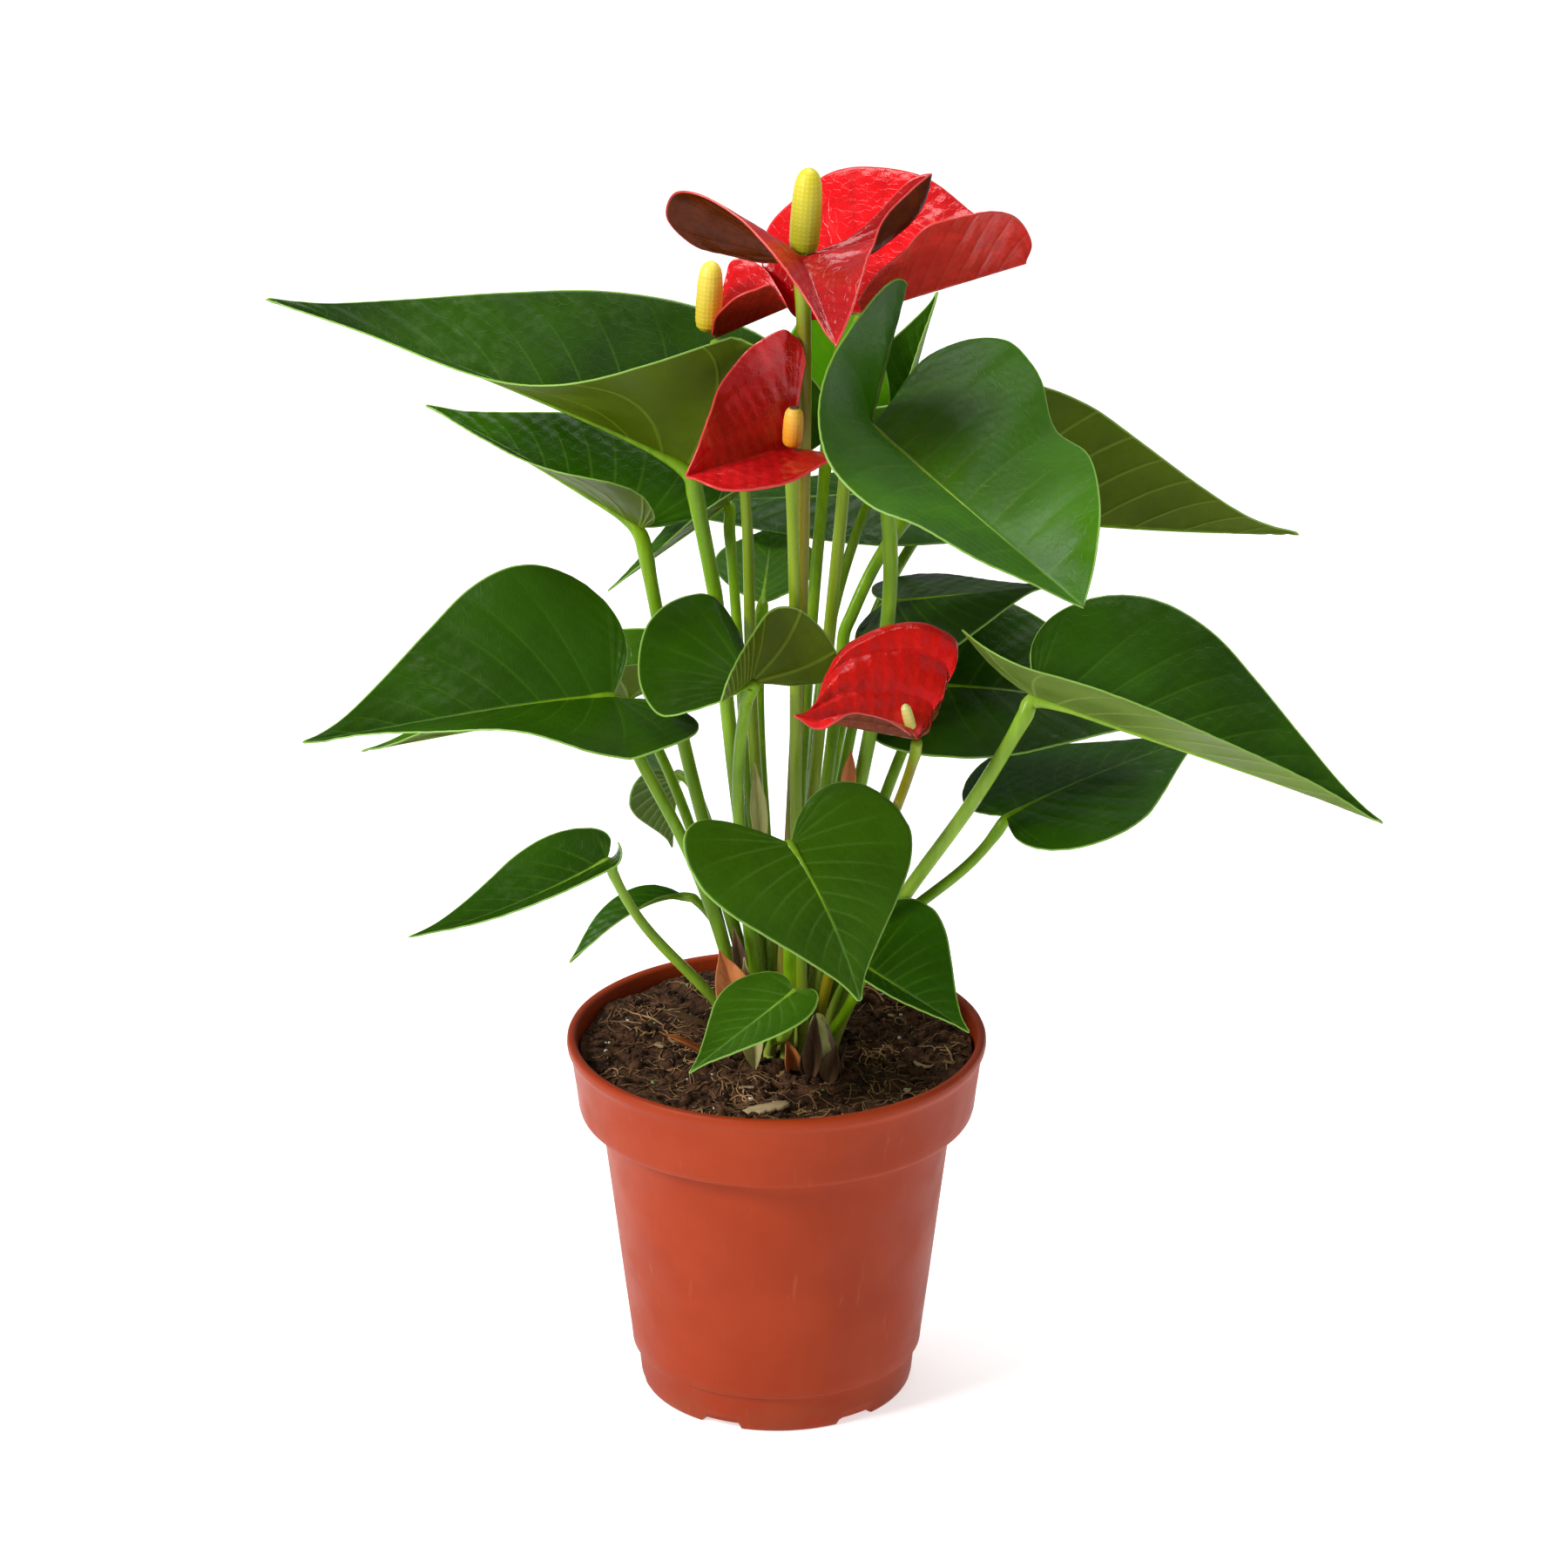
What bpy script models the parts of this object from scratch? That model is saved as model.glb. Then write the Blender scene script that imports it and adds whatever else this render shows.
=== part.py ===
"""Potted anthurium in a round plastic nursery pot.  Lengths in mm, built in metres, Z up.

The pot is a turned profile, the soil fills it, and every leaf, spathe,
spadix and stalk is its own solid standing from the crown.
"""
import math

import bmesh
import bpy
import numpy as np

# ---------------------------------------------------------------- pot and soil, mm
POT_RIM_RADIUS = 60.0
POT_HEIGHT = 108.3
POT_FOOT_RADIUS = 39.4
POT_SIDES = 48
NOTCHES = 6
NOTCH_WIDTH = 12.0
SOIL_Z = 104.0
BLADE_THICKNESS = 0.8
POT_PROFILE = [
    (0, 0), (9, 0), (9.6, 2.6), (33.2, 2.6), (34.2, 0), (38.6, 0), (POT_FOOT_RADIUS, 1.2), (40.5, 11.2),
    (41.9, 12.1), (50.3, 82.5), (51.6, 85.0), (56.4, 86.2), (57.0, 87.6), (59.0, 104.2), (POT_RIM_RADIUS, 105.5),
    (POT_RIM_RADIUS, 107.3), (59.2, POT_HEIGHT), (58.0, POT_HEIGHT), (57.2, 107.0), (55.6, 88.4), (50.2, 86.3),
    (49.2, 83.4), (40.7, 13.2), (39.3, 4.2), (0, 4.2)]
CROWN_AT = (13.0, -20.0)
CROWN_PROFILE = [(0, 104.4), (4.6, 104.4), (5.2, 107), (5.0, 111), (4.0, 115), (2.4, 119), (0, 121.5)]
# small leaves whose blade and stalk are one solid
ONE_PIECE = ('leaf_08', 'leaf_09', 'leaf_10', 'leaf_20', 'leaf_21', 'leaf_22')

# ---------------------------------------------------------------- leaf shapes
# Half-outlines as (distance along / length, distance out / half-width), from
# the inner corner of the lobe round to the tip, and where each rib leaves the midrib.
OUTLINES = {
    'cord': ([(-.11, .16), (-.20, .38), (-.235, .62), (-.18, .84), (-.04, .98), (.14, 1.0),
              (.33, .86), (.52, .60), (.70, .33), (.85, .13), (.94, .05), (1, .012)],
             [0, 0, 0, 0, 0, .05, .16, .33, .53, .72, .86, 1]),
    'half': ([(-.03, .14), (-.06, .36), (-.04, .60), (.03, .82), (.13, .96), (.25, 1.0),
              (.40, .90), (.55, .67), (.70, .41), (.84, .18), (.93, .07), (1, .012)],
             [0, 0, 0, .01, .03, .08, .18, .33, .52, .71, .86, 1]),
    'ov': ([(.02, .12), (.07, .35), (.14, .60), (.23, .83), (.34, .97), (.45, 1.0),
            (.56, .92), (.68, .74), (.80, .48), (.89, .24), (.96, .08), (1, .012)],
           [0, 0, .01, .04, .09, .17, .27, .40, .55, .70, .85, 1]),
}


def rad(a):
    return a * math.pi / 180.0


def unit(v):
    v = np.asarray(v, float)
    return v / np.linalg.norm(v)


def spline(points, t):
    """Catmull-Rom spline through the points, t from 0 to 1."""
    p = np.asarray(points, float)
    if p.ndim == 1:
        p = p[:, None]
    n = len(p) - 1
    x = np.clip(np.asarray(t, float), 0, 1) * n
    i = np.minimum(x.astype(int), n - 1)
    f = (x - i)[..., None]

    def at(k):
        return p[np.clip(k, 0, n)]
    a, b, c, d = at(i - 1), at(i), at(i + 1), at(i + 2)
    a = np.where((i == 0)[..., None], 2 * b - c, a)
    d = np.where((i == n - 1)[..., None], 2 * c - b, d)
    return .5 * (2 * b + (c - a) * f + (2 * a - 5 * b + 4 * c - d) * f * f
                 + (3 * b - a - 3 * c + d) * f ** 3)


class Blade:
    """A heart-shaped blade folded along its midrib.

    J is where the stalk joins, T the tip.  Pairs are (left, right) looking
    from J to T with the upper side up; angles in degrees, lengths in mm.
    """

    def __init__(s, J, T, W, fold=(25, 25), tipfold=None, curl=(0, 0), lobe=(0, 0), arch=(0, 0),
                 out='cord', tp=(1, 1), lob=(1, 1), fp=1.0, rip=(0, 2, 0), head=None):
        s.J, s.T = np.array(J, float), np.array(T, float)
        s.W, s.fold, s.curl, s.lobe, s.tp, s.lob, s.fp, s.rip = W, fold, curl, lobe, tp, lob, fp, rip
        s.tipfold = tipfold or fold
        s.out = (out, out) if isinstance(out, str) else out
        ch = s.T - s.J
        t = unit(ch)
        if head is None:
            B = np.cross((0, 0, 1.0), t)
        else:
            B = np.array([-math.sin(rad(head)), math.cos(rad(head)), 0])
        s.B = unit(B - (B @ t) * t)
        N = np.cross(t, s.B)
        s.C = [s.J, s.J + ch / 3 + N * arch[0] * 1.33, s.J + ch * 2 / 3 + N * arch[1] * 1.33, s.T]
        s.q = np.linspace(0, 1, 41)
        p = s.bez(s.q)
        step = np.linalg.norm(np.diff(p, axis=0), axis=1)
        s.L = step.sum()
        s.cum = np.concatenate([[0], np.cumsum(step)]) / s.L

    def bez(s, t):
        t = np.asarray(t)[..., None]
        a, b, c, d = s.C
        return (1 - t) ** 3 * a + 3 * (1 - t) ** 2 * t * b + 3 * (1 - t) * t * t * c + t ** 3 * d

    def frame(s, u):
        t = np.interp(np.clip(u, 0, 1), s.cum, s.q)
        P = s.bez(t)
        t = t[..., None]
        a, b, c, d = s.C
        T = 3 * (1 - t) ** 2 * (b - a) + 6 * (1 - t) * t * (c - b) + 3 * t * t * (d - c)
        T = T / np.linalg.norm(T, axis=-1, keepdims=True)
        B = s.B - (T @ s.B)[..., None] * T
        B = B / np.linalg.norm(B, axis=-1, keepdims=True)
        return P, T, np.cross(T, B), B

    def place(s, u, w, side):
        """Point of the blade: u along (below 0 in the lobe), w out from 0 to 1."""
        sg = 1.0 if side == 0 else -1.0
        P, T, N, B = s.frame(u)
        uc = np.clip(u, 0, 1)
        f = np.radians(s.tipfold[side] + (s.fold[side] - s.tipfold[side]) * (1 - uc) ** s.fp)
        k = np.radians(np.full(u.shape, float(s.curl[side])))
        k = np.where(np.abs(k) < 1e-4, 1e-4, k)
        a = f + k * w
        W = s.W[side]
        p = P + sg * B * ((np.sin(a) - np.sin(f)) / k * W)[..., None] \
            + N * ((np.cos(f) - np.cos(a)) / k * W)[..., None]
        n = np.cos(a)[..., None] * N - np.sin(a)[..., None] * sg * B
        back = np.clip(-u, 0, None) * s.L * s.lob[side]
        l = np.radians(s.lobe[side]) * np.clip(-u, 0, None) / .235
        l = np.where(np.abs(l) < 1e-4, 1e-4, l)
        p = p - T * (np.sin(l) / l * back)[..., None] + n * ((1 - np.cos(l)) / l * back)[..., None]
        amp, fr, ph = s.rip
        return p + n * (amp * w ** 2 * np.sin(2 * math.pi * (fr * u + ph + .23 * side)))[..., None]

    def rib(s, t, side):
        return np.clip(spline(OUTLINES[s.out[side]][1], t)[..., 0], 0, 1)

    def sheet(s, t, j, side):
        """Grid of points: t round the margin (0 sinus, 1 tip), j from midrib 0 to margin 1."""
        pts, rib = OUTLINES[s.out[side]]
        O = spline(pts, t)
        M = np.clip(spline(rib, t)[..., 0], 0, 1)
        w = np.clip(O[:, 1], 1e-6, 1) ** s.tp[side]
        U = M[:, None] + (O[:, 0] - M)[:, None] * j[None]
        return s.place(U, w[:, None] * j[None], side)


class Sail:
    """A blade drawn by its margins: rows of (rib start on the midrib, x, y, z
    of the margin, and how far the middle of the rib bows out)."""

    def __init__(s, J, T, left, right, sag=(0, 0, 0)):
        s.J, s.T, s.rows, s.sag = np.array(J, float), np.array(T, float), (left, right), np.array(sag, float)
        s.L = np.linalg.norm(s.T - s.J)

    def mid(s, u):
        u = np.asarray(u, float)[..., None]
        return s.J + (s.T - s.J) * u + s.sag * (4 * u * (1 - u))

    def rib(s, t, side):
        return np.clip(spline([r[0] for r in s.rows[side]] + [1], t)[..., 0], 0, 1)

    def sheet(s, t, j, side):
        rows = [tuple(r) + (0, 0, 0) if len(r) == 4 else tuple(r) for r in s.rows[side]]
        rows.append((1,) + tuple(s.T) + (0, 0, 0))
        R = spline(rows, t)
        A = s.mid(np.clip(R[:, 0], 0, 1))
        j = j[None, :, None]
        return A[:, None] * (1 - j) + R[:, None, 1:4] * j + R[:, None, 4:7] * (4 * j * (1 - j))


def blade(J, T, W, **k):
    return Blade(J, T, W, **k)


def stations(b, side, lobe, body):
    """Where to cut the half into ribs: some round the lobe, then the same
    places along the midrib on both halves, so that they share its points."""
    t = np.linspace(0, 1, 801)
    u = np.maximum.accumulate(b.rib(t, side))
    k = np.nonzero(u > 2e-3)[0][0] - 1
    want = (np.arange(body + 1) / body) ** 1.25
    u = u[k:] + np.arange(len(u) - k) * 1e-9
    u = (u - u[0]) / (u[-1] - u[0])
    return np.concatenate([t[k] * np.arange(lobe) / lobe, np.interp(want, u, t[k:])])


# ---------------------------------------------------------------- the plant, mm
LEAVES = {
    'leaf_01': blade((-24, 5, 277), (-142, 35, 316), (52, 43), arch=(3, 2), fold=(68, 52), tipfold=(20, 48),
                     fp=5, lobe=(40, 0), tp=(1.2, 1.0), lob=(.45, .45)),
    'leaf_02': blade((-38, 20, 254), (-99, 45, 282), (30, 31), arch=(1, 1), fold=(48, 42), tipfold=(18, 35),
                     fp=2, out=('half', 'cord'), lob=(1, .8)),
    'leaf_03': blade((-45, -15, 217), (-130, -30, 209), (36, 40), arch=(2, 0), fold=(-6, 52), tipfold=(12, 50),
                     fp=3, out=('cord', 'half'), tp=(1, 1.1), rip=(2, 1.6, .6)),
    'leaf_04': Sail((-7, -26, 225), (-15, -46, 227),
                    [(0, 0, -24, 224), (0, 8, -22, 223), (0, 15, -21, 224), (0, 17, -20, 230), (0, 13, -20, 238),
                     (0, 6, -22, 245), (0, -1, -25, 246), (.1, -6, -31, 242), (.4, -10, -39, 238), (.7, -13, -45, 233)],
                    [(0, -8, -18, 228), (0, -9, -9, 231), (0, -13, -2, 236), (0, -18, 2, 240), (0, -24, 3, 240),
                     (0, -31, 0, 238), (.05, -36, -6, 234), (.15, -38, -15, 228), (.35, -37, -28, 224),
                     (.6, -32, -42, 222), (.8, -25, -47, 224)]),
    'leaf_05': blade((-4, 30, 228), (-1, 72, 237), (15, 15), fold=(10, 10), out='ov'),
    'leaf_06': Sail((26, -12, 294), (81, -74, 264),
                    [(0, 29, -6, 293), (0, 33, 4, 295), (0, 37, 14, 300), (0, 43, 22, 304), (.05, 54, 30, 306),
                     (.12, 64, 32, 305), (.22, 70, 28, 301), (.35, 74, 18, 297), (.5, 77, 2, 289), (.65, 85, -16, 287),
                     (.8, 87, -40, 281), (.92, 85, -60, 274)],
                    [(0, 24, -8, 298), (0, 21, -9, 307), (0, 22, -12, 318), (0, 27, -14, 328), (0, 35, -15, 334),
                     (0, 33, -17, 337), (0, 28, -22, 335), (0, 20, -30, 327), (.03, 14, -38, 318), (.1, 12, -48, 308),
                     (.25, 15, -60, 299), (.4, 25, -70, 291), (.55, 37, -76, 287), (.75, 52, -80, 279),
                     (.9, 68, -80, 272)]),
    'leaf_07': blade((41, 30, 258), (148, 35, 247), (30, 41), arch=(-2, -2), fold=(50, 85), tipfold=(50, 70),
                     out=('cord', 'half')),
    'leaf_08': blade((50, 65, 250), (-39, 77, 242), (21, 18), fold=(-28, 10), tp=(.7, 1)),
    'leaf_09': blade((15, 54, 274), (19, 64, 326), (21, 17), head=100, fold=(15, 15)),
    'leaf_10': blade((35, 60, 273), (46, 70, 308), (13, 13), fold=(52, 52), out='half'),
    'leaf_11': blade((72, -10, 215), (167, -35, 187), (38, 40), arch=(0, 1), fold=(52, 33), tipfold=(50, 42),
                     out=('half', 'cord'), lobe=(0, 30)),
    'leaf_12': blade((31, 26, 230), (77, 31, 233), (26, 25), fold=(-4, -25), out=('half', 'cord')),
    'leaf_13': blade((44, 28, 204), (118, 25, 191), (32, 34), arch=(3, 3), fold=(40, -15)),
    'leaf_14': blade((65, 5, 173), (126, 48, 182), (27, 29), arch=(2, 1), fold=(5, -8), out='half'),
    'leaf_15': blade((4, -45, 185), (23, -70, 149), (36, 36), arch=(3, 3), fold=(5, 5), tp=(1, .9),
                     lob=(1.2, 1.2)),
    'leaf_16': blade((5, -38, 138), (-24, -62, 124), (15, 17), fold=(8, 8), out='half'),
    'leaf_17': blade((26, -18, 136), (54, -35, 124), (25, 14), fold=(40, 20)),
    'leaf_18': blade((-47, -20, 170), (-102, -35, 153), (13, 14), arch=(-2, -3), fold=(14, 50),
                     out=('cord', 'half'), lob=(.5, 1), lobe=(90, 0)),
    'leaf_19': blade((-27, 10, 147), (-59, 0, 130), (8, 7), arch=(5, 2), fold=(28, 32), out='ov'),
    'leaf_20': blade((-30, 60, 163), (-31, 62, 140), (18, 14), head=180, fold=(45, 45)),
    'leaf_21': blade((-42, 30, 199), (-119, 30, 183), (22, 22), fold=(45, 45)),
    'leaf_22': blade((-14, 30, 258), (-48, 35, 230), (16, 14), fold=(15, 25)),
}
SPATHES = {
    'spathe_1': Sail((7, -20, 344), (16, -52, 329),
                     [(0, 13, -17, 343), (0, 20, -13, 346), (0, 27, -8, 352, 5, 0, -2), (0, 35, -4, 360, 8, 0, -4),
                      (0, 41, -2, 362, 9, 0, -3), (0, 36, -8, 359, 10, -2, -3), (0, 29, -16, 354, 8, -3, -3),
                      (.1, 25, -24, 348, 3, -2, -2), (.35, 23, -34, 342), (.65, 20, -44, 335)],
                     [(0, 3, -17, 342), (0, -3, -14, 340), (0, -12, -10, 341), (0, -22, -6, 343), (0, -29, -3, 350),
                      (0, -27, -6, 358), (0, -19, -12, 359), (0, -9, -20, 355), (.05, -1, -28, 348),
                      (.3, 6, -38, 340), (.65, 12, -46, 332)]),
    'spathe_2': Sail((23, 2, 322), (68, 6, 335),
                     [(0, 16, 6, 319), (0, 6, 8, 318), (0, 1, 10, 324), (0, -4, 14, 332), (0, -2, 20, 341),
                      (0, 6, 25, 348), (.05, 15, 28, 354), (.15, 26, 30, 355), (.35, 41, 30, 352),
                      (.6, 54, 25, 344), (.85, 64, 15, 339)],
                     [(0, 22, -3, 327), (.03, 27, -10, 337), (.12, 34, -16, 345), (.25, 40, -20, 352),
                      (.42, 50, -20, 355), (.6, 58, -16, 355), (.78, 65, -8, 351), (.9, 69, 0, 343)]),
    'spathe_3': Sail((-17, 2, 315), (3, -2, 325),
                     [(0, -16, 6, 317), (0, -15, 10, 323), (0, -14, 13, 329), (.1, -12, 15, 333), (.35, -7, 15, 333),
                      (.6, -3, 12, 331), (.85, 1, 5, 327)],
                     [(0, -17, -3, 317), (.02, -16, -7, 324), (.1, -12, -9, 329), (.3, -7, -10, 332),
                      (.55, -2, -9, 333), (.8, 1, -6, 329)]),
    'spathe_4': Sail((4, -18, 290), (-24, -40, 289),
                     [(0, 14, -26, 291), (0, 16, -30, 291), (0, 15, -34, 291), (.05, 10, -38, 290), (.2, 3, -43, 289),
                      (.4, -5, -46, 288), (.6, -12, -48, 288), (.8, -18, -47, 289)],
                     [(0, 8, -18, 314), (0, 7, -17, 319), (0, 4, -17, 322), (0, 1, -18, 323),
                      (.1, -6, -19, 319), (.25, -11, -21, 314), (.45, -15, -24, 309), (.65, -17, -29, 304),
                      (.85, -20, -36, 298)]),
    'spathe_5': Sail((39, -30, 210), (5, -46, 223),
                     [(0, 38, -33, 212), (.1, 34, -38, 217), (.3, 28, -42, 221), (.5, 22, -45, 223),
                      (.7, 17, -47, 222), (.85, 11, -48, 220)],
                     [(0, 42, -26, 211), (0, 44, -20, 217), (0, 47, -15, 222), (0, 50, -10, 226), (0, 50, -7, 230),
                      (.05, 46, -6, 233), (.15, 40, -6, 235), (.3, 32, -8, 235), (.45, 25, -12, 234),
                      (.6, 18, -18, 232), (.75, 13, -27, 227), (.9, 10, -38, 222)]),
}
SHEATHS = {
    'sheath_front': blade((-8, -17, 108), (-13, -20, 139), (4, 4), head=95, fold=(35, 35), out='ov'),
    'sheath_left': blade((-17, -12, 114), (-32, -16, 122), (3, 3), fold=(20, 20), out='ov'),
    'sheath_tall': blade((-4, -13, 170), (-6, -14, 197), (3, 3), head=95, fold=(40, 40), out='ov'),
}
# spadix: foot, top, radius
SPADICES = {
    'spadix_1': ((7.5, -15, 345.5), (9, -15, 367), 4.0),
    'spadix_2': ((20, 1, 330), (19, 2, 340), 3.0),
    'spadix_3': ((-18.5, 2, 319), (-17.5, 2, 336.5), 3.5),
    'spadix_4': ((4.5, -21.8, 293.6), (5, -22.6, 303), 2.7),
    'spadix_5': ((36.6, -30.4, 215.0), (35.2, -29.6, 220), 1.5),
}
# stalks: which blade, radius at the foot and at the top, points on the way up
STALKS = {
    'leaf_01': (2.1, 2.2, [(-17, 4, 241), (-12, 3, 185)]),
    'leaf_02': (2.0, 2.0, [(-34, 17, 231), (-25, 10, 185)]),
    'leaf_03': (2.0, 1.7, [(-42, -12, 200), (-25, -9, 172)]),
    'leaf_04': (2.0, 1.7, [(-11, -20, 208), (-11, -12, 180)]),
    'leaf_05': (1.9, 1.7, [(-6, 28, 218), (-5, 16, 190)]),
    'leaf_06': (2.1, 2.2, [(35, -4, 262), (26, 2, 195)]),
    'leaf_07': (2.0, 2.0, [(25, 18, 255), (19, 12, 220)]),
    'leaf_08': (1.8, 1.7, [(36, 60, 236), (22, 50, 205), (12, 24, 150)]),
    'leaf_09': (1.9, 1.8, [(13, 37, 255), (9, 28, 215), (6, 14, 160)]),
    'leaf_10': (1.8, 1.5, [(27, 42, 254), (15, 39, 232), (9, 20, 165)]),
    'leaf_11': (2.1, 2.1, [(65, -14, 202), (49, -6, 171), (34, 1, 149)]),
    'leaf_12': (1.9, 1.6, [(24, 20, 210), (16, 12, 165)]),
    'leaf_13': (2.0, 1.8, [(36, 22, 188), (22, 12, 148)]),
    'leaf_14': (1.8, 1.6, [(61, 4, 162), (54, 3, 156), (38, 2, 147), (22, 2, 128)]),
    'leaf_15': (2.0, 1.9, [(3, -38, 172), (4, -22, 140)]),
    'leaf_16': (1.7, 1.4, [(4, -32, 130), (3, -24, 117)]),
    'leaf_17': (1.7, 1.5, [(23, -14, 129), (19, -10, 117)]),
    'leaf_18': (1.7, 1.4, [(-45, -18, 162), (-38, -14, 147), (-20, -9, 126)]),
    'leaf_19': (1.6, 1.2, [(-21, 8, 146), (-15, 6, 136)]),
    'leaf_20': (1.8, 1.4, [(-27, 50, 172), (-20, 28, 165), (-12, 12, 135)]),
    'leaf_21': (1.8, 1.5, [(-36, 27, 192), (-22, 16, 158)]),
    'leaf_22': (1.8, 1.5, [(-12, 24, 243), (-9, 16, 190)]),
    'spathe_1': (1.8, 2.0, [(8, -13, 300), (7, -8, 240), (5, -5, 180)]),
    'spathe_2': (1.8, 1.8, [(20, 2, 285), (15, 1, 230), (9, 0, 170)]),
    'spathe_3': (1.8, 1.5, [(-9, 3, 303), (-6, 3, 288), (-7, 4, 262), (-8, 4, 215), (-6, 3, 180)]),
    'spathe_4': (1.8, 1.6, [(4, -18, 272), (6, -14, 235), (5, -10, 180)]),
    'spathe_5': (1.7, 1.4, [(39, -26, 202), (35, -21, 188), (20, -12, 150)]),
}
JOIN_GAP = 2.0          # a stalk stops this far short of its blade
CLEAR = 0.45            # least gap kept between two stalks
FOOT_Z = 104.9
STALK_NODES = 30


def foot_slots():
    """Hexagonal packing of stalk feet inside an ellipse."""
    a = 5.0
    out = []
    for row in range(-4, 5):
        for col in range(-5, 6):
            x = 3 + a * (col + .5 * (row % 2))
            y = 1.5 + a * .866 * row
            e = ((x - 3) / 16.5) ** 2 + ((y - 1.5) / 13.5) ** 2
            out.append((e, x, y))
    out.sort()
    return [(x, y) for e, x, y in out[:len(STALKS)]]


def stalk_paths():
    """Centre lines of all stalks, pushed apart so that none touch."""
    names = sorted(STALKS, key=lambda n: -np.hypot(*top_of(n)[:2]))
    free = foot_slots()
    foot = {}
    for n in names:
        first = STALKS[n][2][-1]
        want = np.array([3, 1.5]) + (np.array(first[:2]) - (3, 1.5)) * 1.2 * 25 / (first[2] - 90)
        k = min(range(len(free)), key=lambda i: (free[i][0] - want[0]) ** 2 + (free[i][1] - want[1]) ** 2)
        foot[n] = free.pop(k)
    goal = {n: np.array([3, 1.5]) + (np.array(STALKS[n][2][-1][:2]) - (3, 1.5)) * 30 / (STALKS[n][2][-1][2] - 90)
            for n in names}
    for sweep in range(6):
        for p in names:
            for q in names:
                now = np.sum((foot[p] - goal[p]) ** 2) + np.sum((foot[q] - goal[q]) ** 2)
                if np.sum((foot[q] - goal[p]) ** 2) + np.sum((foot[p] - goal[q]) ** 2) < now - 1e-6:
                    foot[p], foot[q] = foot[q], foot[p]
    names = list(STALKS)
    t = np.linspace(0, 1, STALK_NODES)
    X, R = [], []
    for n in names:
        r0, r1, via = STALKS[n]
        pts = [(foot[n][0], foot[n][1], FOOT_Z), (foot[n][0], foot[n][1], FOOT_Z + 5)] + [tuple(v) for v in reversed(via)] + [tuple(top_of(n))]
        pts = np.array(pts, float)
        fine = spline(pts, np.linspace(0, 1, 200))
        cum = np.concatenate([[0], np.cumsum(np.linalg.norm(np.diff(fine, axis=0), axis=1))])
        s = t * (cum[-1] - JOIN_GAP)
        X.append(np.stack([np.interp(s, cum, fine[:, k]) for k in range(3)], 1))
        R.append(r0 + (r1 - r0) * t)
    X, R = np.array(X), np.array(R)
    cloud, owner = [], []
    u, j = np.linspace(0, 1, 22), np.linspace(0, 1, 8)
    for n, b in blades().items():
        for side in (0, 1):
            g = b.sheet(u, j, side).reshape(-1, 3)
            cloud.append(g)
            owner += [n] * len(g)
    cloud, owner = np.concatenate(cloud), np.array(owner)
    m = len(names)
    near = []
    for i in range(m):
        ok = np.ones(len(cloud), bool)
        for q in range(3):
            ok &= (cloud[:, q] > X[i, :, q].min() - 7) & (cloud[:, q] < X[i, :, q].max() + 7)
        near.append((cloud[ok], owner[ok] == names[i]))
    rf = R.reshape(-1)
    idn = np.repeat(np.arange(m), STALK_NODES)
    other = idn[:, None] != idn[None]
    last = np.arange(STALK_NODES) > STALK_NODES - 4
    for it in range(200):
        flat = X.reshape(-1, 3)
        d = flat[:, None] - flat[None]
        dist = np.sqrt((d * d).sum(-1)) + 1e-9
        push = np.clip(rf[:, None] + rf[None] + CLEAR - dist, 0, None) * other
        d[..., 2] *= .2
        D = (d / dist[..., None] * push[..., None] * .6).sum(1).reshape(X.shape)
        for i in range(m):
            pts, mine = near[i]
            d = X[i][:, None] - pts[None]
            dist = np.sqrt((d * d).sum(-1)) + 1e-9
            push = np.clip(R[i][:, None] + 1.5 - dist, 0, None) * ~(last[:, None] & mine[None])
            D[i] += (d / dist[..., None] * push[..., None] * .25).sum(1)
        step = np.linalg.norm(D, axis=-1, keepdims=True)
        D = D * np.minimum(1, .8 / (step + 1e-9))
        D[:, 0] = D[:, -1] = 0
        X = X + D
        smooth = np.zeros_like(X)
        smooth[:, 1:-1] = (X[:, :-2] + X[:, 2:]) / 2 - X[:, 1:-1]
        X = X + smooth * (.12 if it < 150 else .02)
    return {n: (X[i], R[i]) for i, n in enumerate(names)}


def blades():
    both = dict(LEAVES)
    both.update(SPATHES)
    return both


def top_of(n):
    return blades()[n].J


# ---------------------------------------------------------------- building
MM = 0.001


def material(name, rgb, rough, metallic=0.0):
    m = bpy.data.materials.new(name)
    m.use_nodes = True
    p = m.node_tree.nodes.get('Principled BSDF')
    p.inputs['Base Color'].default_value = (*rgb, 1)
    p.inputs['Roughness'].default_value = rough
    p.inputs['Metallic'].default_value = metallic
    m.diffuse_color = (*rgb, 1)
    return m


def add(name, bm, mat, smooth=True):
    bm.normal_update()
    bmesh.ops.recalc_face_normals(bm, faces=bm.faces)
    if bm.calc_volume(signed=True) < 0 and not any(e.is_boundary for e in bm.edges):
        bmesh.ops.reverse_faces(bm, faces=bm.faces)
    me = bpy.data.meshes.new(name)
    for f in bm.faces:
        f.smooth = smooth
    bm.to_mesh(me)
    bm.free()
    ob = bpy.data.objects.new(name, me)
    ob.data.materials.append(mat)
    bpy.context.scene.collection.objects.link(ob)
    return ob


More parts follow.
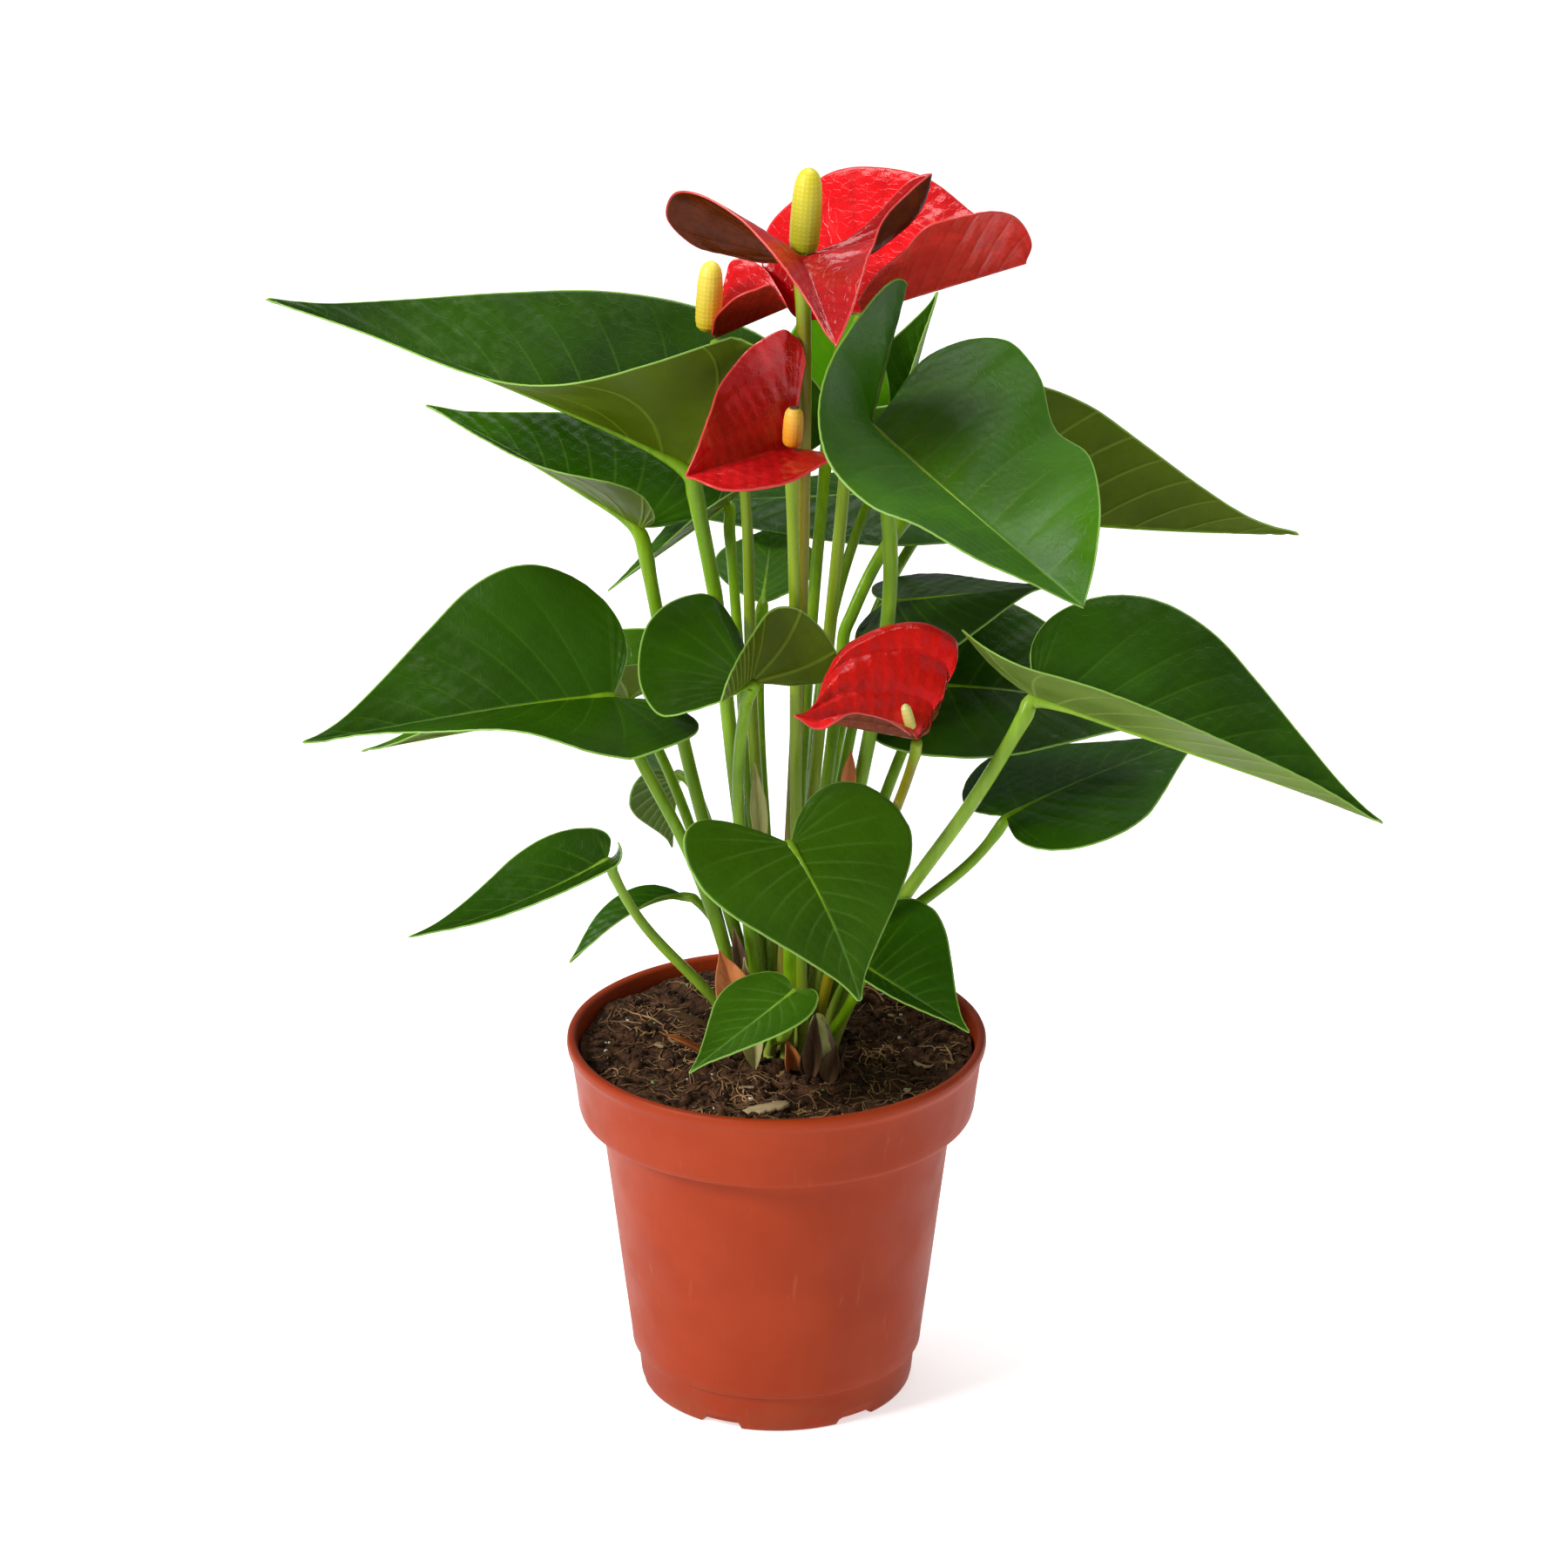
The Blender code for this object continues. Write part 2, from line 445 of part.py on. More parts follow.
def lathe(profile, seg, centre=(0, 0)):
    """Closed solid of revolution; the profile starts and ends on the axis."""
    bm = bmesh.new()
    rings = []
    for r, z in profile:
        if r < 1e-6:
            rings.append([bm.verts.new((centre[0] * MM, centre[1] * MM, z * MM))])
        else:
            rings.append([bm.verts.new(((centre[0] + r * math.cos(2 * math.pi * k / seg)) * MM,
                                        (centre[1] + r * math.sin(2 * math.pi * k / seg)) * MM, z * MM))
                          for k in range(seg)])
    for a, b in zip(rings, rings[1:]):
        for k in range(seg):
            q = [a[k % len(a)], a[(k + 1) % len(a)], b[(k + 1) % len(b)], b[k % len(b)]]
            uniq = []
            for v in q:
                if v not in uniq:
                    uniq.append(v)
            bm.faces.new(uniq)
    return bm


def blade_object(name, b, mat, cells, out_cells, thick=BLADE_THICKNESS):
    """Both halves on one midrib, thickened with Solidify."""
    bm = bmesh.new()
    j = np.linspace(0, 1, out_cells + 1)
    lobe = max(3, cells // 3)
    spine = None
    for side in (0, 1):
        g = b.sheet(stations(b, side, lobe, cells - lobe), j, side)
        v = [[bm.verts.new(p * MM) for p in row] for row in g]
        foot = v[lobe][0] if spine is None else spine[0]
        line = [foot] + [row[0] for row in v[lobe + 1:]] if spine is None else spine
        for i, row in enumerate(v):
            new = foot if i <= lobe else line[i - lobe]
            if row[0] is not new:
                bm.verts.remove(row[0])
            row[0] = new
        for x in v[-1][1:]:
            bm.verts.remove(x)
        v[-1] = [line[-1]] * (out_cells + 1)
        spine = line
        for i in range(cells):
            for k in range(out_cells):
                q = [v[i][k], v[i + 1][k], v[i + 1][k + 1], v[i][k + 1]]
                uniq = []
                for x in q:
                    if x not in uniq:
                        uniq.append(x)
                if len(uniq) > 2:
                    bm.faces.new(uniq if side == 0 else uniq[::-1])
    bmesh.ops.remove_doubles(bm, verts=bm.verts, dist=0.01 * MM)
    bmesh.ops.triangulate(bm, faces=bm.faces)
    ob = add(name, bm, mat)
    s = ob.modifiers.new('thickness', 'SOLIDIFY')
    s.thickness = thick * MM
    s.offset = 0
    s.use_even_offset = False
    return ob


def tube(path, radius, sides, extra=None):
    """Closed tube along a path with rounded ends."""
    pts = [np.asarray(p, float) for p in path]
    rs = list(radius)
    bm = bmesh.new()
    ref = np.array([0, 1.0, 0.1])
    rings = []
    n = len(pts)
    for i, p in enumerate(pts):
        t = unit(pts[min(i + 1, n - 1)] - pts[max(i - 1, 0)])
        a = unit(ref - (ref @ t) * t)
        b = np.cross(t, a)
        ref = a
        rings.append([bm.verts.new((p + rs[i] * (math.cos(2 * math.pi * k / sides) * a
                                                + math.sin(2 * math.pi * k / sides) * b)) * MM)
                      for k in range(sides)])
    for r0, r1 in zip(rings, rings[1:]):
        for k in range(sides):
            bm.faces.new([r0[k], r0[(k + 1) % sides], r1[(k + 1) % sides], r1[k]])
    bm.faces.new(rings[0][::-1])
    bm.faces.new(rings[-1])
    return bm


def thin_path(X, R, count):
    k = np.linspace(0, len(X) - 1, count)
    i = np.arange(len(X))
    return (np.stack([np.interp(k, i, X[:, c]) for c in range(3)], 1), np.interp(k, i, R))


def pot():
    bm = lathe(POT_PROFILE, POT_SIDES)
    ob = add('nursery_pot', bm, material('terracotta plastic', (.52, .115, .045), .55))
    for k in range(NOTCHES):
        a = rad(-90 - 24 + 360 / NOTCHES * k)
        cut = bmesh.new()
        bmesh.ops.create_cube(cut, size=1)
        for v in cut.verts:
            x, y, z = v.co.x * 14, v.co.y * NOTCH_WIDTH, (v.co.z * 4 + .1)
            x += 37
            v.co = ((x * math.cos(a) - y * math.sin(a)) * MM, (x * math.sin(a) + y * math.cos(a)) * MM, z * MM)
        c = add('notch_cutter_%d' % (k + 1), cut, ob.data.materials[0], False)
        c.hide_render = True
        c.display_type = 'WIRE'
        m = ob.modifiers.new('notch_%d' % (k + 1), 'BOOLEAN')
        m.operation = 'DIFFERENCE'
        m.solver = 'EXACT'
        m.object = c
    return ob


def soil():
    rng = np.random.default_rng(4)
    seg = 36
    prof = [(0, 4.6), (38.8, 4.6), (40.2, 13.4), (48.7, 83.8), (49.6, 86.9), (55.0, 89.0), (55.7, SOIL_Z - 1.6)]
    top = [(52, .8), (45, 1.1), (36, 1.2), (28, .9), (22, 0), (0, 0)]
    bm = bmesh.new()
    rings = []
    for r, z in prof:
        if r == 0:
            rings.append([bm.verts.new((0, 0, z * MM))])
        else:
            rings.append([bm.verts.new((r * math.cos(2 * math.pi * k / seg) * MM,
                                        r * math.sin(2 * math.pi * k / seg) * MM, z * MM)) for k in range(seg)])
    for r, amp in top:
        if r == 0:
            rings.append([bm.verts.new((0, 0, SOIL_Z * MM))])
        else:
            dz = rng.uniform(-amp, amp * .4, seg)
            rings.append([bm.verts.new((r * math.cos(2 * math.pi * k / seg) * MM,
                                        r * math.sin(2 * math.pi * k / seg) * MM,
                                        (SOIL_Z + dz[k]) * MM)) for k in range(seg)])
    for a, b in zip(rings, rings[1:]):
        for k in range(seg):
            q = [a[k % len(a)], a[(k + 1) % len(a)], b[(k + 1) % len(b)], b[k % len(b)]]
            uniq = []
            for v in q:
                if v not in uniq:
                    uniq.append(v)
            bm.faces.new(uniq)
    bmesh.ops.triangulate(bm, faces=bm.faces)
    return add('potting_soil', bm, material('peat soil', (.035, .018, .01), .95), False)


for ob in list(bpy.data.objects):
    bpy.data.objects.remove(ob, do_unlink=True)

pot()
soil()
crown = lathe(CROWN_PROFILE, 14, CROWN_AT)
add('crown_shoot', crown, material('pale crown green', (.30, .33, .10), .6))

LEAF_GREEN, STALK_GREEN = (.035, .115, .018), (.16, .30, .03)
PATHS = stalk_paths()
b_of = blades()
for n, b in LEAVES.items():
    big = b.L > 60
    blade_object(n, b, material(n + ' green', LEAF_GREEN, .35), 13 if big else 10, 3)
for n, b in SPATHES.items():
    blade_object(n, b, material(n + ' red', (.62, .008, .018), .18), 14, 4)
for n, b in SHEATHS.items():
    blade_object(n, b, material(n + ' brown', (.30, .12, .05), .7), 8, 2, .7)
for n, (X, R) in PATHS.items():
    P, rr = thin_path(X, R, 12)
    if n in LEAVES and n not in ONE_PIECE:
        add(n.replace('leaf', 'petiole'), tube(P, rr, 8), material(n + ' stalk', STALK_GREEN, .4))
    elif n in SPATHES:
        add(n.replace('spathe', 'peduncle'), tube(P, rr, 8), material(n + ' stalk', (.18, .17, .02), .4))
    else:
        # small leaf and its stalk as one solid: the stalk runs on into the blade
        end = top_of(n)
        P = np.vstack([P, [end], [end + 2.5 * b_of[n].frame(np.zeros(1))[1][0]]])
        rr = np.append(rr, [1.0, .75])
        c = add(n + '_stalk_part', tube(P, rr, 7), bpy.data.objects[n].data.materials[0])
        c.hide_render = True
        c.display_type = 'WIRE'
        m = bpy.data.objects[n].modifiers.new('stalk', 'BOOLEAN')
        m.operation = 'UNION'
        m.use_self = True
        m.solver = 'EXACT'
        m.object = c
for n, (a, b, r) in SPADICES.items():
    a, b = np.array(a, float), np.array(b, float)
    s = np.array([0, .04, .14, .35, .65, .85, .96, 1])
    w = np.array([.55, .85, 1, 1.03, .97, .84, .58, .22])
    col = (.72, .36, .05) if n == 'spadix_4' else (.62, .58, .07)
    add(n, tube([a + (b - a) * q for q in s], w * r, 12), material(n + ' yellow', col, .55))
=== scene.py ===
"""Looks of the potted anthurium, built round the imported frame."""
import math

import bmesh
import bpy
import numpy as np
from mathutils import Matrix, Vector


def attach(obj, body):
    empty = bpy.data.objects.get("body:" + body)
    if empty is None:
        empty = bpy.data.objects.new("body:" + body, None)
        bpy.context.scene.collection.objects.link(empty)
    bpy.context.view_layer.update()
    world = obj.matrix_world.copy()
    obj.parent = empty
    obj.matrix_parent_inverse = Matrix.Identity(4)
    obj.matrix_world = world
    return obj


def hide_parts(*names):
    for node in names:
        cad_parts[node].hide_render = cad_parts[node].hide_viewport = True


SOIL_Z = 104.0
CROWN_AT = (13.0, -20.0)
ONE_PIECE = ('leaf_08', 'leaf_09', 'leaf_10', 'leaf_20', 'leaf_21', 'leaf_22')

# ---------------------------------------------------------------- leaf shapes
# Half-outlines as (distance along / length, distance out / half-width), from
# the inner corner of the lobe round to the tip, and where each rib leaves the midrib.
OUTLINES = {
    'cord': ([(-.11, .16), (-.20, .38), (-.235, .62), (-.18, .84), (-.04, .98), (.14, 1.0),
              (.33, .86), (.52, .60), (.70, .33), (.85, .13), (.94, .05), (1, .012)],
             [0, 0, 0, 0, 0, .05, .16, .33, .53, .72, .86, 1]),
    'half': ([(-.03, .14), (-.06, .36), (-.04, .60), (.03, .82), (.13, .96), (.25, 1.0),
              (.40, .90), (.55, .67), (.70, .41), (.84, .18), (.93, .07), (1, .012)],
             [0, 0, 0, .01, .03, .08, .18, .33, .52, .71, .86, 1]),
    'ov': ([(.02, .12), (.07, .35), (.14, .60), (.23, .83), (.34, .97), (.45, 1.0),
            (.56, .92), (.68, .74), (.80, .48), (.89, .24), (.96, .08), (1, .012)],
           [0, 0, .01, .04, .09, .17, .27, .40, .55, .70, .85, 1]),
}


def rad(a):
    return a * math.pi / 180.0


def unit(v):
    v = np.asarray(v, float)
    return v / np.linalg.norm(v)


def spline(points, t):
    """Catmull-Rom spline through the points, t from 0 to 1."""
    p = np.asarray(points, float)
    if p.ndim == 1:
        p = p[:, None]
    n = len(p) - 1
    x = np.clip(np.asarray(t, float), 0, 1) * n
    i = np.minimum(x.astype(int), n - 1)
    f = (x - i)[..., None]

    def at(k):
        return p[np.clip(k, 0, n)]
    a, b, c, d = at(i - 1), at(i), at(i + 1), at(i + 2)
    a = np.where((i == 0)[..., None], 2 * b - c, a)
    d = np.where((i == n - 1)[..., None], 2 * c - b, d)
    return .5 * (2 * b + (c - a) * f + (2 * a - 5 * b + 4 * c - d) * f * f
                 + (3 * b - a - 3 * c + d) * f ** 3)


class Blade:
    """A heart-shaped blade folded along its midrib.

    J is where the stalk joins, T the tip.  Pairs are (left, right) looking
    from J to T with the upper side up; angles in degrees, lengths in mm.
    """

    def __init__(s, J, T, W, fold=(25, 25), tipfold=None, curl=(0, 0), lobe=(0, 0), arch=(0, 0),
                 out='cord', tp=(1, 1), lob=(1, 1), fp=1.0, rip=(0, 2, 0), head=None):
        s.J, s.T = np.array(J, float), np.array(T, float)
        s.W, s.fold, s.curl, s.lobe, s.tp, s.lob, s.fp, s.rip = W, fold, curl, lobe, tp, lob, fp, rip
        s.tipfold = tipfold or fold
        s.out = (out, out) if isinstance(out, str) else out
        ch = s.T - s.J
        t = unit(ch)
        if head is None:
            B = np.cross((0, 0, 1.0), t)
        else:
            B = np.array([-math.sin(rad(head)), math.cos(rad(head)), 0])
        s.B = unit(B - (B @ t) * t)
        N = np.cross(t, s.B)
        s.C = [s.J, s.J + ch / 3 + N * arch[0] * 1.33, s.J + ch * 2 / 3 + N * arch[1] * 1.33, s.T]
        s.q = np.linspace(0, 1, 41)
        p = s.bez(s.q)
        step = np.linalg.norm(np.diff(p, axis=0), axis=1)
        s.L = step.sum()
        s.cum = np.concatenate([[0], np.cumsum(step)]) / s.L

    def bez(s, t):
        t = np.asarray(t)[..., None]
        a, b, c, d = s.C
        return (1 - t) ** 3 * a + 3 * (1 - t) ** 2 * t * b + 3 * (1 - t) * t * t * c + t ** 3 * d

    def frame(s, u):
        t = np.interp(np.clip(u, 0, 1), s.cum, s.q)
        P = s.bez(t)
        t = t[..., None]
        a, b, c, d = s.C
        T = 3 * (1 - t) ** 2 * (b - a) + 6 * (1 - t) * t * (c - b) + 3 * t * t * (d - c)
        T = T / np.linalg.norm(T, axis=-1, keepdims=True)
        B = s.B - (T @ s.B)[..., None] * T
        B = B / np.linalg.norm(B, axis=-1, keepdims=True)
        return P, T, np.cross(T, B), B

    def place(s, u, w, side):
        """Point of the blade: u along (below 0 in the lobe), w out from 0 to 1."""
        sg = 1.0 if side == 0 else -1.0
        P, T, N, B = s.frame(u)
        uc = np.clip(u, 0, 1)
        f = np.radians(s.tipfold[side] + (s.fold[side] - s.tipfold[side]) * (1 - uc) ** s.fp)
        k = np.radians(np.full(u.shape, float(s.curl[side])))
        k = np.where(np.abs(k) < 1e-4, 1e-4, k)
        a = f + k * w
        W = s.W[side]
        p = P + sg * B * ((np.sin(a) - np.sin(f)) / k * W)[..., None] \
            + N * ((np.cos(f) - np.cos(a)) / k * W)[..., None]
        n = np.cos(a)[..., None] * N - np.sin(a)[..., None] * sg * B
        back = np.clip(-u, 0, None) * s.L * s.lob[side]
        l = np.radians(s.lobe[side]) * np.clip(-u, 0, None) / .235
        l = np.where(np.abs(l) < 1e-4, 1e-4, l)
        p = p - T * (np.sin(l) / l * back)[..., None] + n * ((1 - np.cos(l)) / l * back)[..., None]
        amp, fr, ph = s.rip
        return p + n * (amp * w ** 2 * np.sin(2 * math.pi * (fr * u + ph + .23 * side)))[..., None]

    def rib(s, t, side):
        return np.clip(spline(OUTLINES[s.out[side]][1], t)[..., 0], 0, 1)

    def sheet(s, t, j, side):
        """Grid of points: t round the margin (0 sinus, 1 tip), j from midrib 0 to margin 1."""
        pts, rib = OUTLINES[s.out[side]]
        O = spline(pts, t)
        M = np.clip(spline(rib, t)[..., 0], 0, 1)
        w = np.clip(O[:, 1], 1e-6, 1) ** s.tp[side]
        U = M[:, None] + (O[:, 0] - M)[:, None] * j[None]
        return s.place(U, w[:, None] * j[None], side)


class Sail:
    """A blade drawn by its margins: rows of (rib start on the midrib, x, y, z
    of the margin, and how far the middle of the rib bows out)."""

    def __init__(s, J, T, left, right, sag=(0, 0, 0)):
        s.J, s.T, s.rows, s.sag = np.array(J, float), np.array(T, float), (left, right), np.array(sag, float)
        s.L = np.linalg.norm(s.T - s.J)

    def mid(s, u):
        u = np.asarray(u, float)[..., None]
        return s.J + (s.T - s.J) * u + s.sag * (4 * u * (1 - u))

    def rib(s, t, side):
        return np.clip(spline([r[0] for r in s.rows[side]] + [1], t)[..., 0], 0, 1)

    def sheet(s, t, j, side):
        rows = [tuple(r) + (0, 0, 0) if len(r) == 4 else tuple(r) for r in s.rows[side]]
        rows.append((1,) + tuple(s.T) + (0, 0, 0))
        R = spline(rows, t)
        A = s.mid(np.clip(R[:, 0], 0, 1))
        j = j[None, :, None]
        return A[:, None] * (1 - j) + R[:, None, 1:4] * j + R[:, None, 4:7] * (4 * j * (1 - j))


def blade(J, T, W, **k):
    return Blade(J, T, W, **k)


def stations(b, side, lobe, body):
    """Where to cut the half into ribs: some round the lobe, then the same
    places along the midrib on both halves, so that they share its points."""
    t = np.linspace(0, 1, 801)
    u = np.maximum.accumulate(b.rib(t, side))
    k = np.nonzero(u > 2e-3)[0][0] - 1
    want = (np.arange(body + 1) / body) ** 1.25
    u = u[k:] + np.arange(len(u) - k) * 1e-9
    u = (u - u[0]) / (u[-1] - u[0])
    return np.concatenate([t[k] * np.arange(lobe) / lobe, np.interp(want, u, t[k:])])


# ---------------------------------------------------------------- the plant, mm
LEAVES = {
    'leaf_01': blade((-24, 5, 277), (-142, 35, 316), (52, 43), arch=(3, 2), fold=(68, 52), tipfold=(20, 48),
                     fp=5, lobe=(40, 0), tp=(1.2, 1.0), lob=(.45, .45)),
    'leaf_02': blade((-38, 20, 254), (-99, 45, 282), (30, 31), arch=(1, 1), fold=(48, 42), tipfold=(18, 35),
                     fp=2, out=('half', 'cord'), lob=(1, .8)),
    'leaf_03': blade((-45, -15, 217), (-130, -30, 209), (36, 40), arch=(2, 0), fold=(-6, 52), tipfold=(12, 50),
                     fp=3, out=('cord', 'half'), tp=(1, 1.1), rip=(2, 1.6, .6)),
    'leaf_04': Sail((-7, -26, 225), (-15, -46, 227),
                    [(0, 0, -24, 224), (0, 8, -22, 223), (0, 15, -21, 224), (0, 17, -20, 230), (0, 13, -20, 238),
                     (0, 6, -22, 245), (0, -1, -25, 246), (.1, -6, -31, 242), (.4, -10, -39, 238), (.7, -13, -45, 233)],
                    [(0, -8, -18, 228), (0, -9, -9, 231), (0, -13, -2, 236), (0, -18, 2, 240), (0, -24, 3, 240),
                     (0, -31, 0, 238), (.05, -36, -6, 234), (.15, -38, -15, 228), (.35, -37, -28, 224),
                     (.6, -32, -42, 222), (.8, -25, -47, 224)]),
    'leaf_05': blade((-4, 30, 228), (-1, 72, 237), (15, 15), fold=(10, 10), out='ov'),
    'leaf_06': Sail((26, -12, 294), (81, -74, 264),
                    [(0, 29, -6, 293), (0, 33, 4, 295), (0, 37, 14, 300), (0, 43, 22, 304), (.05, 54, 30, 306),
                     (.12, 64, 32, 305), (.22, 70, 28, 301), (.35, 74, 18, 297), (.5, 77, 2, 289), (.65, 85, -16, 287),
                     (.8, 87, -40, 281), (.92, 85, -60, 274)],
                    [(0, 24, -8, 298), (0, 21, -9, 307), (0, 22, -12, 318), (0, 27, -14, 328), (0, 35, -15, 334),
                     (0, 33, -17, 337), (0, 28, -22, 335), (0, 20, -30, 327), (.03, 14, -38, 318), (.1, 12, -48, 308),
                     (.25, 15, -60, 299), (.4, 25, -70, 291), (.55, 37, -76, 287), (.75, 52, -80, 279),
                     (.9, 68, -80, 272)]),
    'leaf_07': blade((41, 30, 258), (148, 35, 247), (30, 41), arch=(-2, -2), fold=(50, 85), tipfold=(50, 70),
                     out=('cord', 'half')),
    'leaf_08': blade((50, 65, 250), (-39, 77, 242), (21, 18), fold=(-28, 10), tp=(.7, 1)),
    'leaf_09': blade((15, 54, 274), (19, 64, 326), (21, 17), head=100, fold=(15, 15)),
    'leaf_10': blade((35, 60, 273), (46, 70, 308), (13, 13), fold=(52, 52), out='half'),
    'leaf_11': blade((72, -10, 215), (167, -35, 187), (38, 40), arch=(0, 1), fold=(52, 33), tipfold=(50, 42),
                     out=('half', 'cord'), lobe=(0, 30)),
    'leaf_12': blade((31, 26, 230), (77, 31, 233), (26, 25), fold=(-4, -25), out=('half', 'cord')),
    'leaf_13': blade((44, 28, 204), (118, 25, 191), (32, 34), arch=(3, 3), fold=(40, -15)),
    'leaf_14': blade((65, 5, 173), (126, 48, 182), (27, 29), arch=(2, 1), fold=(5, -8), out='half'),
    'leaf_15': blade((4, -45, 185), (23, -70, 149), (36, 36), arch=(3, 3), fold=(5, 5), tp=(1, .9),
                     lob=(1.2, 1.2)),
    'leaf_16': blade((5, -38, 138), (-24, -62, 124), (15, 17), fold=(8, 8), out='half'),
    'leaf_17': blade((26, -18, 136), (54, -35, 124), (25, 14), fold=(40, 20)),
    'leaf_18': blade((-47, -20, 170), (-102, -35, 153), (13, 14), arch=(-2, -3), fold=(14, 50),
                     out=('cord', 'half'), lob=(.5, 1), lobe=(90, 0)),
    'leaf_19': blade((-27, 10, 147), (-59, 0, 130), (8, 7), arch=(5, 2), fold=(28, 32), out='ov'),
    'leaf_20': blade((-30, 60, 163), (-31, 62, 140), (18, 14), head=180, fold=(45, 45)),
    'leaf_21': blade((-42, 30, 199), (-119, 30, 183), (22, 22), fold=(45, 45)),
    'leaf_22': blade((-14, 30, 258), (-48, 35, 230), (16, 14), fold=(15, 25)),
}
SPATHES = {
    'spathe_1': Sail((7, -20, 344), (16, -52, 329),
                     [(0, 13, -17, 343), (0, 20, -13, 346), (0, 27, -8, 352, 5, 0, -2), (0, 35, -4, 360, 8, 0, -4),
                      (0, 41, -2, 362, 9, 0, -3), (0, 36, -8, 359, 10, -2, -3), (0, 29, -16, 354, 8, -3, -3),
                      (.1, 25, -24, 348, 3, -2, -2), (.35, 23, -34, 342), (.65, 20, -44, 335)],
                     [(0, 3, -17, 342), (0, -3, -14, 340), (0, -12, -10, 341), (0, -22, -6, 343), (0, -29, -3, 350),
                      (0, -27, -6, 358), (0, -19, -12, 359), (0, -9, -20, 355), (.05, -1, -28, 348),
                      (.3, 6, -38, 340), (.65, 12, -46, 332)]),
    'spathe_2': Sail((23, 2, 322), (68, 6, 335),
                     [(0, 16, 6, 319), (0, 6, 8, 318), (0, 1, 10, 324), (0, -4, 14, 332), (0, -2, 20, 341),
                      (0, 6, 25, 348), (.05, 15, 28, 354), (.15, 26, 30, 355), (.35, 41, 30, 352),
                      (.6, 54, 25, 344), (.85, 64, 15, 339)],
                     [(0, 22, -3, 327), (.03, 27, -10, 337), (.12, 34, -16, 345), (.25, 40, -20, 352),
                      (.42, 50, -20, 355), (.6, 58, -16, 355), (.78, 65, -8, 351), (.9, 69, 0, 343)]),
    'spathe_3': Sail((-17, 2, 315), (3, -2, 325),
                     [(0, -16, 6, 317), (0, -15, 10, 323), (0, -14, 13, 329), (.1, -12, 15, 333), (.35, -7, 15, 333),
                      (.6, -3, 12, 331), (.85, 1, 5, 327)],
                     [(0, -17, -3, 317), (.02, -16, -7, 324), (.1, -12, -9, 329), (.3, -7, -10, 332),
                      (.55, -2, -9, 333), (.8, 1, -6, 329)]),
    'spathe_4': Sail((4, -18, 290), (-24, -40, 289),
                     [(0, 14, -26, 291), (0, 16, -30, 291), (0, 15, -34, 291), (.05, 10, -38, 290), (.2, 3, -43, 289),
                      (.4, -5, -46, 288), (.6, -12, -48, 288), (.8, -18, -47, 289)],
                     [(0, 8, -18, 314), (0, 7, -17, 319), (0, 4, -17, 322), (0, 1, -18, 323),
                      (.1, -6, -19, 319), (.25, -11, -21, 314), (.45, -15, -24, 309), (.65, -17, -29, 304),
                      (.85, -20, -36, 298)]),
    'spathe_5': Sail((39, -30, 210), (5, -46, 223),
                     [(0, 38, -33, 212), (.1, 34, -38, 217), (.3, 28, -42, 221), (.5, 22, -45, 223),
                      (.7, 17, -47, 222), (.85, 11, -48, 220)],
                     [(0, 42, -26, 211), (0, 44, -20, 217), (0, 47, -15, 222), (0, 50, -10, 226), (0, 50, -7, 230),
                      (.05, 46, -6, 233), (.15, 40, -6, 235), (.3, 32, -8, 235), (.45, 25, -12, 234),
                      (.6, 18, -18, 232), (.75, 13, -27, 227), (.9, 10, -38, 222)]),
}
SHEATHS = {
    'sheath_front': blade((-8, -17, 108), (-13, -20, 139), (4, 4), head=95, fold=(35, 35), out='ov'),
    'sheath_left': blade((-17, -12, 114), (-32, -16, 122), (3, 3), fold=(20, 20), out='ov'),
    'sheath_tall': blade((-4, -13, 170), (-6, -14, 197), (3, 3), head=95, fold=(40, 40), out='ov'),
}
# spadix: foot, top, radius
SPADICES = {
    'spadix_1': ((7.5, -15, 345.5), (9, -15, 367), 4.0),
    'spadix_2': ((20, 1, 330), (19, 2, 340), 3.0),
    'spadix_3': ((-18.5, 2, 319), (-17.5, 2, 336.5), 3.5),
    'spadix_4': ((4.5, -21.8, 293.6), (5, -22.6, 303), 2.7),
    'spadix_5': ((36.6, -30.4, 215.0), (35.2, -29.6, 220), 1.5),
}
